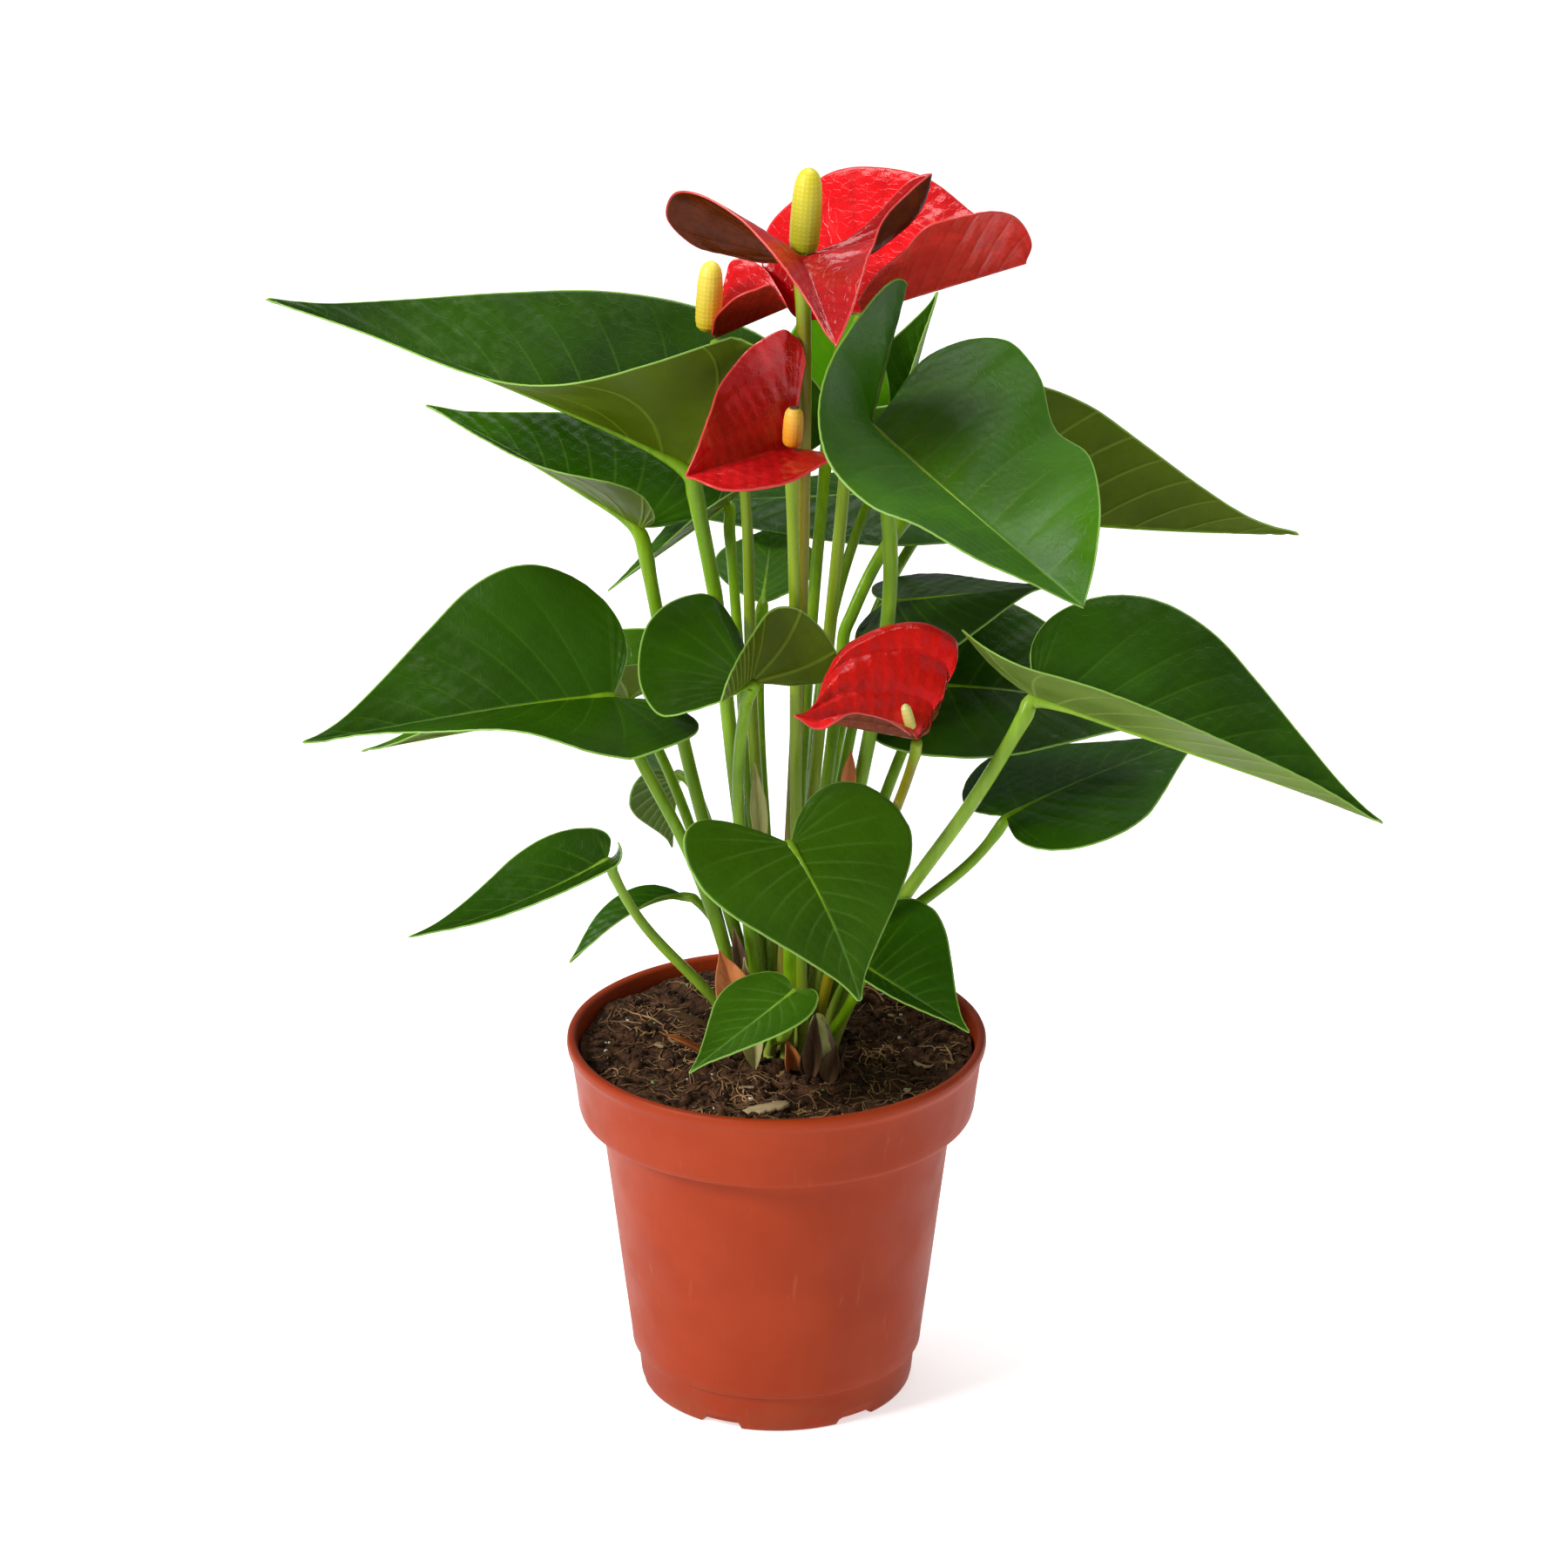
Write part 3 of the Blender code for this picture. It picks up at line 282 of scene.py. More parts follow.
# stalks: which blade, radius at the foot and at the top, points on the way up
STALKS = {
    'leaf_01': (2.1, 2.2, [(-17, 4, 241), (-12, 3, 185)]),
    'leaf_02': (2.0, 2.0, [(-34, 17, 231), (-25, 10, 185)]),
    'leaf_03': (2.0, 1.7, [(-42, -12, 200), (-25, -9, 172)]),
    'leaf_04': (2.0, 1.7, [(-11, -20, 208), (-11, -12, 180)]),
    'leaf_05': (1.9, 1.7, [(-6, 28, 218), (-5, 16, 190)]),
    'leaf_06': (2.1, 2.2, [(35, -4, 262), (26, 2, 195)]),
    'leaf_07': (2.0, 2.0, [(25, 18, 255), (19, 12, 220)]),
    'leaf_08': (1.8, 1.7, [(36, 60, 236), (22, 50, 205), (12, 24, 150)]),
    'leaf_09': (1.9, 1.8, [(13, 37, 255), (9, 28, 215), (6, 14, 160)]),
    'leaf_10': (1.8, 1.5, [(27, 42, 254), (15, 39, 232), (9, 20, 165)]),
    'leaf_11': (2.1, 2.1, [(65, -14, 202), (49, -6, 171), (34, 1, 149)]),
    'leaf_12': (1.9, 1.6, [(24, 20, 210), (16, 12, 165)]),
    'leaf_13': (2.0, 1.8, [(36, 22, 188), (22, 12, 148)]),
    'leaf_14': (1.8, 1.6, [(61, 4, 162), (54, 3, 156), (38, 2, 147), (22, 2, 128)]),
    'leaf_15': (2.0, 1.9, [(3, -38, 172), (4, -22, 140)]),
    'leaf_16': (1.7, 1.4, [(4, -32, 130), (3, -24, 117)]),
    'leaf_17': (1.7, 1.5, [(23, -14, 129), (19, -10, 117)]),
    'leaf_18': (1.7, 1.4, [(-45, -18, 162), (-38, -14, 147), (-20, -9, 126)]),
    'leaf_19': (1.6, 1.2, [(-21, 8, 146), (-15, 6, 136)]),
    'leaf_20': (1.8, 1.4, [(-27, 50, 172), (-20, 28, 165), (-12, 12, 135)]),
    'leaf_21': (1.8, 1.5, [(-36, 27, 192), (-22, 16, 158)]),
    'leaf_22': (1.8, 1.5, [(-12, 24, 243), (-9, 16, 190)]),
    'spathe_1': (1.8, 2.0, [(8, -13, 300), (7, -8, 240), (5, -5, 180)]),
    'spathe_2': (1.8, 1.8, [(20, 2, 285), (15, 1, 230), (9, 0, 170)]),
    'spathe_3': (1.8, 1.5, [(-9, 3, 303), (-6, 3, 288), (-7, 4, 262), (-8, 4, 215), (-6, 3, 180)]),
    'spathe_4': (1.8, 1.6, [(4, -18, 272), (6, -14, 235), (5, -10, 180)]),
    'spathe_5': (1.7, 1.4, [(39, -26, 202), (35, -21, 188), (20, -12, 150)]),
}
JOIN_GAP = 2.0          # a stalk stops this far short of its blade
CLEAR = 0.45            # least gap kept between two stalks
FOOT_Z = 104.9
STALK_NODES = 30


def foot_slots():
    """Hexagonal packing of stalk feet inside an ellipse."""
    a = 5.0
    out = []
    for row in range(-4, 5):
        for col in range(-5, 6):
            x = 3 + a * (col + .5 * (row % 2))
            y = 1.5 + a * .866 * row
            e = ((x - 3) / 16.5) ** 2 + ((y - 1.5) / 13.5) ** 2
            out.append((e, x, y))
    out.sort()
    return [(x, y) for e, x, y in out[:len(STALKS)]]


def stalk_paths():
    """Centre lines of all stalks, pushed apart so that none touch."""
    names = sorted(STALKS, key=lambda n: -np.hypot(*top_of(n)[:2]))
    free = foot_slots()
    foot = {}
    for n in names:
        first = STALKS[n][2][-1]
        want = np.array([3, 1.5]) + (np.array(first[:2]) - (3, 1.5)) * 1.2 * 25 / (first[2] - 90)
        k = min(range(len(free)), key=lambda i: (free[i][0] - want[0]) ** 2 + (free[i][1] - want[1]) ** 2)
        foot[n] = free.pop(k)
    goal = {n: np.array([3, 1.5]) + (np.array(STALKS[n][2][-1][:2]) - (3, 1.5)) * 30 / (STALKS[n][2][-1][2] - 90)
            for n in names}
    for sweep in range(6):
        for p in names:
            for q in names:
                now = np.sum((foot[p] - goal[p]) ** 2) + np.sum((foot[q] - goal[q]) ** 2)
                if np.sum((foot[q] - goal[p]) ** 2) + np.sum((foot[p] - goal[q]) ** 2) < now - 1e-6:
                    foot[p], foot[q] = foot[q], foot[p]
    names = list(STALKS)
    t = np.linspace(0, 1, STALK_NODES)
    X, R = [], []
    for n in names:
        r0, r1, via = STALKS[n]
        pts = [(foot[n][0], foot[n][1], FOOT_Z), (foot[n][0], foot[n][1], FOOT_Z + 5)] + [tuple(v) for v in reversed(via)] + [tuple(top_of(n))]
        pts = np.array(pts, float)
        fine = spline(pts, np.linspace(0, 1, 200))
        cum = np.concatenate([[0], np.cumsum(np.linalg.norm(np.diff(fine, axis=0), axis=1))])
        s = t * (cum[-1] - JOIN_GAP)
        X.append(np.stack([np.interp(s, cum, fine[:, k]) for k in range(3)], 1))
        R.append(r0 + (r1 - r0) * t)
    X, R = np.array(X), np.array(R)
    cloud, owner = [], []
    u, j = np.linspace(0, 1, 22), np.linspace(0, 1, 8)
    for n, b in blades().items():
        for side in (0, 1):
            g = b.sheet(u, j, side).reshape(-1, 3)
            cloud.append(g)
            owner += [n] * len(g)
    cloud, owner = np.concatenate(cloud), np.array(owner)
    m = len(names)
    near = []
    for i in range(m):
        ok = np.ones(len(cloud), bool)
        for q in range(3):
            ok &= (cloud[:, q] > X[i, :, q].min() - 7) & (cloud[:, q] < X[i, :, q].max() + 7)
        near.append((cloud[ok], owner[ok] == names[i]))
    rf = R.reshape(-1)
    idn = np.repeat(np.arange(m), STALK_NODES)
    other = idn[:, None] != idn[None]
    last = np.arange(STALK_NODES) > STALK_NODES - 4
    for it in range(200):
        flat = X.reshape(-1, 3)
        d = flat[:, None] - flat[None]
        dist = np.sqrt((d * d).sum(-1)) + 1e-9
        push = np.clip(rf[:, None] + rf[None] + CLEAR - dist, 0, None) * other
        d[..., 2] *= .2
        D = (d / dist[..., None] * push[..., None] * .6).sum(1).reshape(X.shape)
        for i in range(m):
            pts, mine = near[i]
            d = X[i][:, None] - pts[None]
            dist = np.sqrt((d * d).sum(-1)) + 1e-9
            push = np.clip(R[i][:, None] + 1.5 - dist, 0, None) * ~(last[:, None] & mine[None])
            D[i] += (d / dist[..., None] * push[..., None] * .25).sum(1)
        step = np.linalg.norm(D, axis=-1, keepdims=True)
        D = D * np.minimum(1, .8 / (step + 1e-9))
        D[:, 0] = D[:, -1] = 0
        X = X + D
        smooth = np.zeros_like(X)
        smooth[:, 1:-1] = (X[:, :-2] + X[:, 2:]) / 2 - X[:, 1:-1]
        X = X + smooth * (.12 if it < 150 else .02)
    return {n: (X[i], R[i]) for i, n in enumerate(names)}


def blades():
    both = dict(LEAVES)
    both.update(SPATHES)
    return both


def top_of(n):
    return blades()[n].J


# ================================================================ visual model
MM = .001
RNG = np.random.default_rng(11)
LOOK_LEAVES = dict(LEAVES)
LOOK_LEAVES['leaf_01'] = blade((-24, 5, 277), (-142, 35, 316), (52, 43), arch=(3, 2), fold=(68, 52), tipfold=(20, 48),
                               fp=5, lobe=(110, 0), tp=(1.2, 1.0))


# ---------------------------------------------------------------- node helpers
class Mat:
    def __init__(s, name):
        s.m = bpy.data.materials.new(name)
        s.m.use_nodes = True
        s.t = s.m.node_tree
        s.p = s.t.nodes['Principled BSDF']
        s.out = s.t.nodes['Material Output']

    def node(s, kind, **props):
        n = s.t.nodes.new(kind)
        for k, v in props.items():
            setattr(n, k, v)
        return n

    def put(s, socket, value):
        if hasattr(value, 'is_output') and value.is_output:
            s.t.links.new(value, socket)
        elif isinstance(value, (tuple, list)) and len(value) == 3 and socket.type == 'RGBA':
            socket.default_value = (*value, 1)
        else:
            socket.default_value = value

    def attr(s, name):
        return s.node('ShaderNodeAttribute', attribute_name=name).outputs['Fac']

    def coord(s):
        return s.node('ShaderNodeTexCoord').outputs['Object']

    def noise(s, scale, detail=3, rough=.55, vec=None, dist=0):
        n = s.node('ShaderNodeTexNoise')
        n.inputs['Scale'].default_value = scale
        n.inputs['Detail'].default_value = detail
        n.inputs['Roughness'].default_value = rough
        n.inputs['Distortion'].default_value = dist
        s.put(n.inputs['Vector'], vec or s.coord())
        return n.outputs['Fac']

    def voro(s, scale, feature='F1', vec=None):
        n = s.node('ShaderNodeTexVoronoi', feature=feature)
        n.inputs['Scale'].default_value = scale
        s.put(n.inputs['Vector'], vec or s.coord())
        return n.outputs['Distance']

    def stretch(s, x, y, z):
        n = s.node('ShaderNodeMapping')
        n.inputs['Scale'].default_value = (x, y, z)
        s.put(n.inputs['Vector'], s.coord())
        return n.outputs['Vector']

    def ramp(s, v, a, b, c=0.0, d=1.0, smooth=True):
        n = s.node('ShaderNodeMapRange')
        if smooth:
            n.interpolation_type = 'SMOOTHSTEP'
        s.put(n.inputs['Value'], v)
        for k, x in (('From Min', a), ('From Max', b), ('To Min', c), ('To Max', d)):
            n.inputs[k].default_value = x
        return n.outputs['Result']

    def math(s, op, a, b=0.0):
        n = s.node('ShaderNodeMath', operation=op)
        s.put(n.inputs[0], a)
        s.put(n.inputs[1], b)
        return n.outputs[0]

    def mix(s, f, a, b):
        n = s.node('ShaderNodeMix', data_type='RGBA')
        s.put(n.inputs['Factor'], f)
        s.put(n.inputs[6], a)
        s.put(n.inputs[7], b)
        return n.outputs[2]

    def bump(s, h, dist, strength=1.0, normal=None):
        n = s.node('ShaderNodeBump')
        n.inputs['Distance'].default_value = dist
        n.inputs['Strength'].default_value = strength
        s.put(n.inputs['Height'], h)
        if normal:
            s.put(n.inputs['Normal'], normal)
        return n.outputs['Normal']

    def translucent(s, colour, amount):
        """Some of the light passes through the blade."""
        t = s.node('ShaderNodeBsdfTranslucent')
        s.put(t.inputs['Color'], colour)
        m = s.node('ShaderNodeMixShader')
        s.put(m.inputs['Fac'], amount)
        s.t.links.new(s.p.outputs[0], m.inputs[1])
        s.t.links.new(t.outputs[0], m.inputs[2])
        s.t.links.new(m.outputs[0], s.out.inputs['Surface'])

    def set(s, **k):
        for a, v in k.items():
            s.put(s.p.inputs[a.replace('_', ' ')], v)
        return s.m


def leaf_upper(name, dark, mid, vein, gloss=(.2, .38), glow=.18, shine=.16):
    m = Mat(name)
    tone = m.ramp(m.noise(28, 4), .35, .68)
    patch = m.ramp(m.noise(9, 2), .35, .7)
    c = m.mix(tone, dark, mid)
    c = m.mix(m.math('MULTIPLY', patch, .40), c, tuple(x * 1.7 for x in mid))
    net = m.ramp(m.voro(330, 'DISTANCE_TO_EDGE', m.stretch(1, 1, 1)), .0, .07, 1, 0)
    c = m.mix(m.math('MULTIPLY', net, .06), c, vein)
    dust = m.math('MULTIPLY', m.ramp(m.noise(22, 3), .52, .72), m.ramp(m.noise(260, 4, .6), .42, .66))
    c = m.mix(m.math('MULTIPLY', dust, .30), c, (.10, .17, .05))
    v = m.ramp(m.attr('vd'), .12, .62, 1, 0)
    v = m.math('MULTIPLY', v, m.ramp(m.attr('vj'), .35, .97, .40, .06))
    c = m.mix(v, c, vein)
    c = m.mix(m.ramp(m.attr('dm'), .25, .95, .75, 0), c, tuple(min(1, x * 1.1 + .015) for x in vein))
    c = m.mix(m.ramp(m.attr('de'), .22, .62, .9, 0), c, (.30, .50, .10))
    r = m.ramp(m.noise(60, 4), .3, .72, gloss[0], gloss[1])
    fine = m.noise(1500, 2)
    b = m.bump(fine, .00006, .35)
    b = m.bump(net, .00010, .30, b)
    b = m.bump(m.noise(150, 3), .0004, .35, b)
    m.set(Base_Color=c, Roughness=r, Normal=b, IOR=1.45, Specular_IOR_Level=shine)
    m.translucent(m.mix(v, tuple(min(1, x * 5.5) for x in mid), (.25, .42, .01)), glow)
    return m.m


def leaf_under(name, base, vein, glow=.2):
    m = Mat(name)
    tone = m.ramp(m.noise(35, 4), .3, .7)
    c = m.mix(tone, tuple(x * .78 for x in base), tuple(x * 1.12 for x in base))
    net = m.ramp(m.voro(300, 'DISTANCE_TO_EDGE'), .0, .09, 1, 0)
    c = m.mix(m.math('MULTIPLY', net, .22), c, tuple(x * .6 for x in base))
    v = m.ramp(m.attr('vd'), .2, .8, .75, 0)
    c = m.mix(v, c, vein)
    c = m.mix(m.ramp(m.attr('dm'), .4, 1.3, .9, 0), c, vein)
    c = m.mix(m.ramp(m.attr('de'), .2, .6, .8, 0), c, (.34, .5, .12))
    b = m.bump(m.ramp(m.attr('vd'), .0, .9, 1, 0), .0005, .6)
    b = m.bump(m.noise(900, 2), .00008, .4, b)
    m.set(Base_Color=c, Roughness=m.ramp(m.noise(70, 3), .3, .7, .42, .56), Normal=b, Specular_IOR_Level=.12)
    m.translucent(tuple(min(1, x * 3.2) for x in base), glow)
    return m.m


def spathe_upper(name, red=(.86, .003, .008), deep=(.56, .002, .004)):
    m = Mat(name)
    tone = m.ramp(m.noise(32, 4), .32, .7)
    c = m.mix(tone, deep, red)
    v = m.ramp(m.attr('vd'), .1, 1.3, .55, 0)
    c = m.mix(m.math('MULTIPLY', v, .6), c, tuple(x * .85 for x in deep))
    fine = m.ramp(m.voro(420, 'DISTANCE_TO_EDGE'), 0, .08, 1, 0)
    c = m.mix(m.math('MULTIPLY', fine, .08), c, (.80, .04, .03))
    c = m.mix(m.ramp(m.attr('de'), .2, .7, .6, 0), c, (.72, .09, .07))
    b = m.bump(m.noise(120, 3, .5), .0012, .45)
    b = m.bump(fine, .00012, .35, b)
    b = m.bump(m.noise(1300, 2), .00006, .35, b)
    m.set(Base_Color=c, Roughness=m.ramp(m.noise(90, 3), .3, .7, .14, .27), Normal=b, IOR=1.5,
          Specular_IOR_Level=.34, Coat_Weight=.22, Coat_Roughness=.12)
    m.translucent((.9, .01, .01), .16)
    return m.m


def spathe_under(name, base, vein):
    m = Mat(name)
    tone = m.ramp(m.noise(45, 5), .3, .7)
    c = m.mix(tone, tuple(x * .62 for x in base), base)
    c = m.mix(m.ramp(m.attr('vd'), .1, .7, .28, 0), c, vein)
    c = m.mix(m.ramp(m.noise(130, 5, .6, None, 1.2), .44, .60, 0, .45), c, vein)
    c = m.mix(m.ramp(m.voro(260, 'DISTANCE_TO_EDGE'), 0, .07, .25, 0), c, vein)
    c = m.mix(m.ramp(m.attr('de'), .2, .7, .7, 0), c, (.62, .05, .04))
    b = m.bump(m.ramp(m.attr('vd'), .0, 1.0, 1, 0), .0003, .35)
    b = m.bump(m.noise(170, 4), .0009, .5, b)
    b = m.bump(m.noise(900, 2), .0001, .4, b)
    m.set(Base_Color=c, Roughness=m.ramp(m.noise(80, 3), .3, .7, .26, .42), Normal=b, Specular_IOR_Level=.13)
    m.translucent(tuple(min(1, x * 2.2) for x in base), .1)
    return m.m


def stalk_mat(name, base, other, rough=(.25, .4)):
    m = Mat(name)
    streak = m.ramp(m.noise(260, 4, .6, m.stretch(1, 1, .06)), .3, .7)
    c = m.mix(streak, base, other)
    c = m.mix(m.ramp(m.noise(45, 3), .45, .75, 0, .45), c, tuple(x * 1.5 for x in base))
    top = m.ramp(m.attr('along'), .90, .97, 0, .55)
    c = m.mix(top, c, (.24, .40, .02))
    foot = m.ramp(m.attr('along'), .03, .16, .75, 0)
    c = m.mix(foot, c, (.36, .40, .07))
    c = m.mix(m.ramp(m.voro(900), .0, .16, .5, 0), c, tuple(x * 1.35 for x in other))
    b = m.bump(streak, .00015, .5)
    m.set(Base_Color=c, Roughness=m.ramp(m.noise(90, 3), .3, .7, rough[0], rough[1]), Normal=b, Specular_IOR_Level=.25,
          Subsurface_Weight=.12, Subsurface_Radius=(.001, .0015, .0004), Subsurface_Scale=1.0)
    return m.m


def spadix_mat(name, low, high):
    m = Mat(name)
    c = m.mix(m.ramp(m.attr('along'), .05, .9), low, high)
    # painted shade: the spadix colour is darkened in the grooves between the flower bumps, where the bump height is low
    c = m.mix(m.ramp(m.attr('bump'), .1, .8, .25, 0), c, tuple(x * .6 for x in low))
    if name == 'spadix orange':
        c = m.mix(m.ramp(m.attr('along'), .945, .975, 0, 1), c, (.07, .035, .01))
    c = m.mix(m.ramp(m.voro(620), 0, .11, .4, 0), c, (.50, .30, .01))
    b = m.bump(m.noise(1800, 2), .0001, .4)
    m.set(Base_Color=c, Roughness=m.ramp(m.noise(400, 2), .3, .7, .38, .55), Normal=b, Subsurface_Weight=.15,
          Subsurface_Radius=(.002, .0015, .0005), Subsurface_Scale=1.0)
    return m.m


# ---------------------------------------------------------------- meshes
def mesh(name, verts, faces, mats, attrs=None, smooth=True, slots=None):
    me = bpy.data.meshes.new(name)
    me.from_pydata([tuple(v) for v in np.asarray(verts) * MM], [], faces)
    for a, v in (attrs or {}).items():
        at = me.attributes.new(a, 'FLOAT', 'POINT')
        at.data.foreach_set('value', np.asarray(v, np.float32))
    for m in mats:
        me.materials.append(m)
    if slots is not None:
        me.polygons.foreach_set('material_index', np.asarray(slots, np.int32))
    me.polygons.foreach_set('use_smooth', [smooth] * len(me.polygons))
    me.update()
    ob = bpy.data.objects.new(name, me)
    bpy.context.scene.collection.objects.link(ob)
    return ob


LOBE_VEINS = (.22, .48, .74, 1.0)
BODY_VEINS = (.06, .14, .23, .33, .44, .56, .69, .83)


def fine_blade(name, b, mats, puff=.3, groove=1.7, wave=.6, thick=.45, seed=0, cross=36, per=9, arcs=0.0):
    rng = np.random.default_rng(100 + seed)
    ph = rng.uniform(0, 6.28, 8)
    J = np.linspace(0, 1, cross + 1) ** .92
    verts, faces = [], []
    at = {k: [] for k in ('vd', 'dm', 'de', 'vj', 'vt')}
    spine = None
    for side in (0, 1):
        t = np.linspace(0, 1, 1601)
        u = np.maximum.accumulate(b.rib(t, side))
        k0 = np.nonzero(u > 2e-3)[0][0] - 1
        uu = u[k0:] + np.arange(len(u) - k0) * 1e-9
        uu = (uu - uu[0]) / (uu[-1] - uu[0])
        knots = [0.0] + [t[k0] * f for f in LOBE_VEINS]
        stn, vein = [0.0], []
        for a, c in zip(knots, knots[1:]):
            stn += list(a + (c - a) * (np.arange(per) + 1) / per)
            vein.append(len(stn) - 1)
        foot = len(stn) - 1
        ub = [0.0] + list(BODY_VEINS) + [1.0]
        for a, c in zip(ub, ub[1:]):
            stn += list(np.interp(a + (c - a) * (np.arange(per) + 1) / per, uu, t[k0:]))
            vein.append(len(stn) - 1)
        vein = vein[:-1]
        stn = np.array(stn)
        n = len(stn)
        G = np.zeros((n, cross + 1, 3))
        for k, j in enumerate(J):
            tt = np.clip(stn + .16 * j ** 2 * stn * (1 - stn), 0, 1)
            if k == 0:
                tt = stn
            G[:, k] = b.sheet(tt, np.array([j]), side)[:, 0]
        rib = np.concatenate([np.zeros((n, 1)), np.cumsum(np.linalg.norm(np.diff(G, axis=1), axis=2), 1)], 1)
        arc = np.concatenate([np.zeros((1, cross + 1)), np.cumsum(np.linalg.norm(np.diff(G, axis=0), axis=2), 0)], 0)
        vd = np.min(np.abs(arc[:, None, :] - arc[vein][None]), axis=1)
        dm = rib
        de = np.minimum(rib[:, -1:] - rib, arc * 1.0)
        de[foot:] = (rib[:, -1:] - rib)[foot:]
        dt, dj = np.gradient(G, axis=0), np.gradient(G, axis=1)
        nrm = np.cross(dt, dj) * (1 if side == 0 else -1)
        nrm[:, 0] = nrm[:, 1]
        nrm[-1] = nrm[-2]
        nrm /= np.linalg.norm(nrm, axis=2, keepdims=True) + 1e-12
        q = (dm / 5) / (1 + dm / 5) * 1.2
        h = puff * (1 - np.exp(-(vd / groove) ** 2)) * np.clip(dm / 4, 0, 1) * np.clip(de / 4, 0, 1)
        s = stn[:, None]
        h = h + wave * (J[None] ** 2) * (np.sin(9 * s + ph[0]) * .6 + np.sin(17 * s + ph[1]) * .4) * np.clip(q, 0, 1)
        h = h + wave * .35 * np.sin(6.5 * s + ph[2]) * np.sin(3.1 * J[None] + ph[3]) * np.clip(dm / 8, 0, 1)
        h = h + arcs * np.abs(np.sin(3.1416 * (2.6 * J[None] + .12 * np.sin(5 * s)))) ** .7 * np.clip(dm / 3, 0, 1) \
            * np.clip(de / 3, 0, 1)
        h = h + .07 * np.sin(G[..., 0] * 1.1 + ph[4]) * np.sin(G[..., 1] * 1.3 + G[..., 2] * .9 + ph[5])
        h[:, 0] = 0
        h[-1] = 0
        G = G + nrm * h[..., None]
        idx = np.zeros((n, cross + 1), int)
        base = len(verts)
        for i in range(n):
            for k in range(cross + 1):
                if k == 0 and i < foot and not (side == 1 and spine):
                    continue
                if k == 0 and side == 1:
                    idx[i, k] = spine[max(0, i - foot)]
                    continue
                if i == n - 1 and k > 0:
                    idx[i, k] = idx[i, 0] if side == 0 else spine[-1]
                    continue
                idx[i, k] = len(verts)
                verts.append(G[i, k])
                for a, v in (('vd', vd[i, k]), ('dm', dm[i, k]), ('de', de[i, k]), ('vj', J[k]), ('vt', stn[i])):
                    at[a].append(v)
        if side == 0:
            idx[:foot, 0] = idx[foot, 0]
            spine = [int(x) for x in idx[foot:, 0]]
        else:
            idx[:foot, 0] = spine[0]
        for i in range(n - 1):
            for k in range(cross):
                q4 = [idx[i, k], idx[i + 1, k], idx[i + 1, k + 1], idx[i, k + 1]]
                un = []
                for x in q4:
                    if int(x) not in un:
                        un.append(int(x))
                if len(un) > 2:
                    faces.append(un if side == 0 else un[::-1])
    ob = mesh(name, verts, faces, mats, at)
    so = ob.modifiers.new('thickness', 'SOLIDIFY')
    so.thickness = thick * MM
    so.offset = -1
    so.use_even_offset = False
    so.material_offset = 1
    so.material_offset_rim = 2
    return ob


def fine_tube(name, pts, rad_, mat, sides=18, bumps=0.0, flat=0.0, extra=None):
    """Tube along points with a radius at each; closed with rounded ends."""
    pts = np.asarray(pts, float)
    rad_ = np.asarray(rad_, float)
    n = len(pts)
    T = np.gradient(pts, axis=0)
    T /= np.linalg.norm(T, axis=1, keepdims=True) + 1e-12
    cum = np.concatenate([[0], np.cumsum(np.linalg.norm(np.diff(pts, axis=0), axis=1))])
    ref = np.array([.05, 1, .02])
    V, along, bp = [], [], []
    th = np.arange(sides) * 2 * math.pi / sides
    for i in range(n):
        a = unit(ref - (ref @ T[i]) * T[i])
        bb = np.cross(T[i], a)
        ref = a
        r = rad_[i] * np.ones(sides)
        if flat:
            r = r * (1 - flat * np.exp(-((th - 1.57) / .55) ** 2))
        bv = np.zeros(sides)
        if bumps:
            k = 9
            w = cum[i] * 2.6
            bv = np.maximum(0, np.cos(k * th + w)) * np.maximum(0, np.cos(k * th - w)) \
                + np.maximum(0, np.cos(k * th + w + math.pi)) * np.maximum(0, np.cos(k * th - w + math.pi))
            r = r * (1 + bumps * bv)
        for s in range(sides):
            V.append(pts[i] + r[s] * (math.cos(th[s]) * a + math.sin(th[s]) * bb))
            along.append(cum[i] / cum[-1])
            bp.append(bv[s])
    F = []
    for i in range(n - 1):
        for s in range(sides):
            s2 = (s + 1) % sides
            F.append([i * sides + s, i * sides + s2, (i + 1) * sides + s2, (i + 1) * sides + s])
    V.append(pts[0] - T[0] * rad_[0] * .3)
    V.append(pts[-1] + T[-1] * rad_[-1] * .3)
    along += [0, 1]
    bp += [0, 0]
    for s in range(sides):
        s2 = (s + 1) % sides
        F.append([len(V) - 2, s2, s])
        F.append([len(V) - 1, (n - 1) * sides + s, (n - 1) * sides + s2])
    return mesh(name, V, F, [mat], {'along': along, 'bump': bp})


def spine_frame(b, u):
    """Midrib point and the upward direction between the two halves there."""
    out = []
    for x in u:
        ns = []
        for side in (0, 1):
            t = np.linspace(0, 1, 401)
            r = np.maximum.accumulate(b.rib(t, side))
            k = min(np.searchsorted(r, x) + 1, 398)
            g = b.sheet(t[k - 1:k + 2], np.array([0, .12, .24]), side)
            v = np.cross(g[2, 1] - g[0, 1], g[1, 2] - g[1, 0]) * (1 if side == 0 else -1)
            ns.append(v / (np.linalg.norm(v) + 1e-12))
        up = unit(ns[0] + ns[1] + 1e-6)
        p = b.mid(np.array([x]))[0] if isinstance(b, Sail) else b.frame(np.array([x]))[0][0]
        out.append((p, up))
    return out


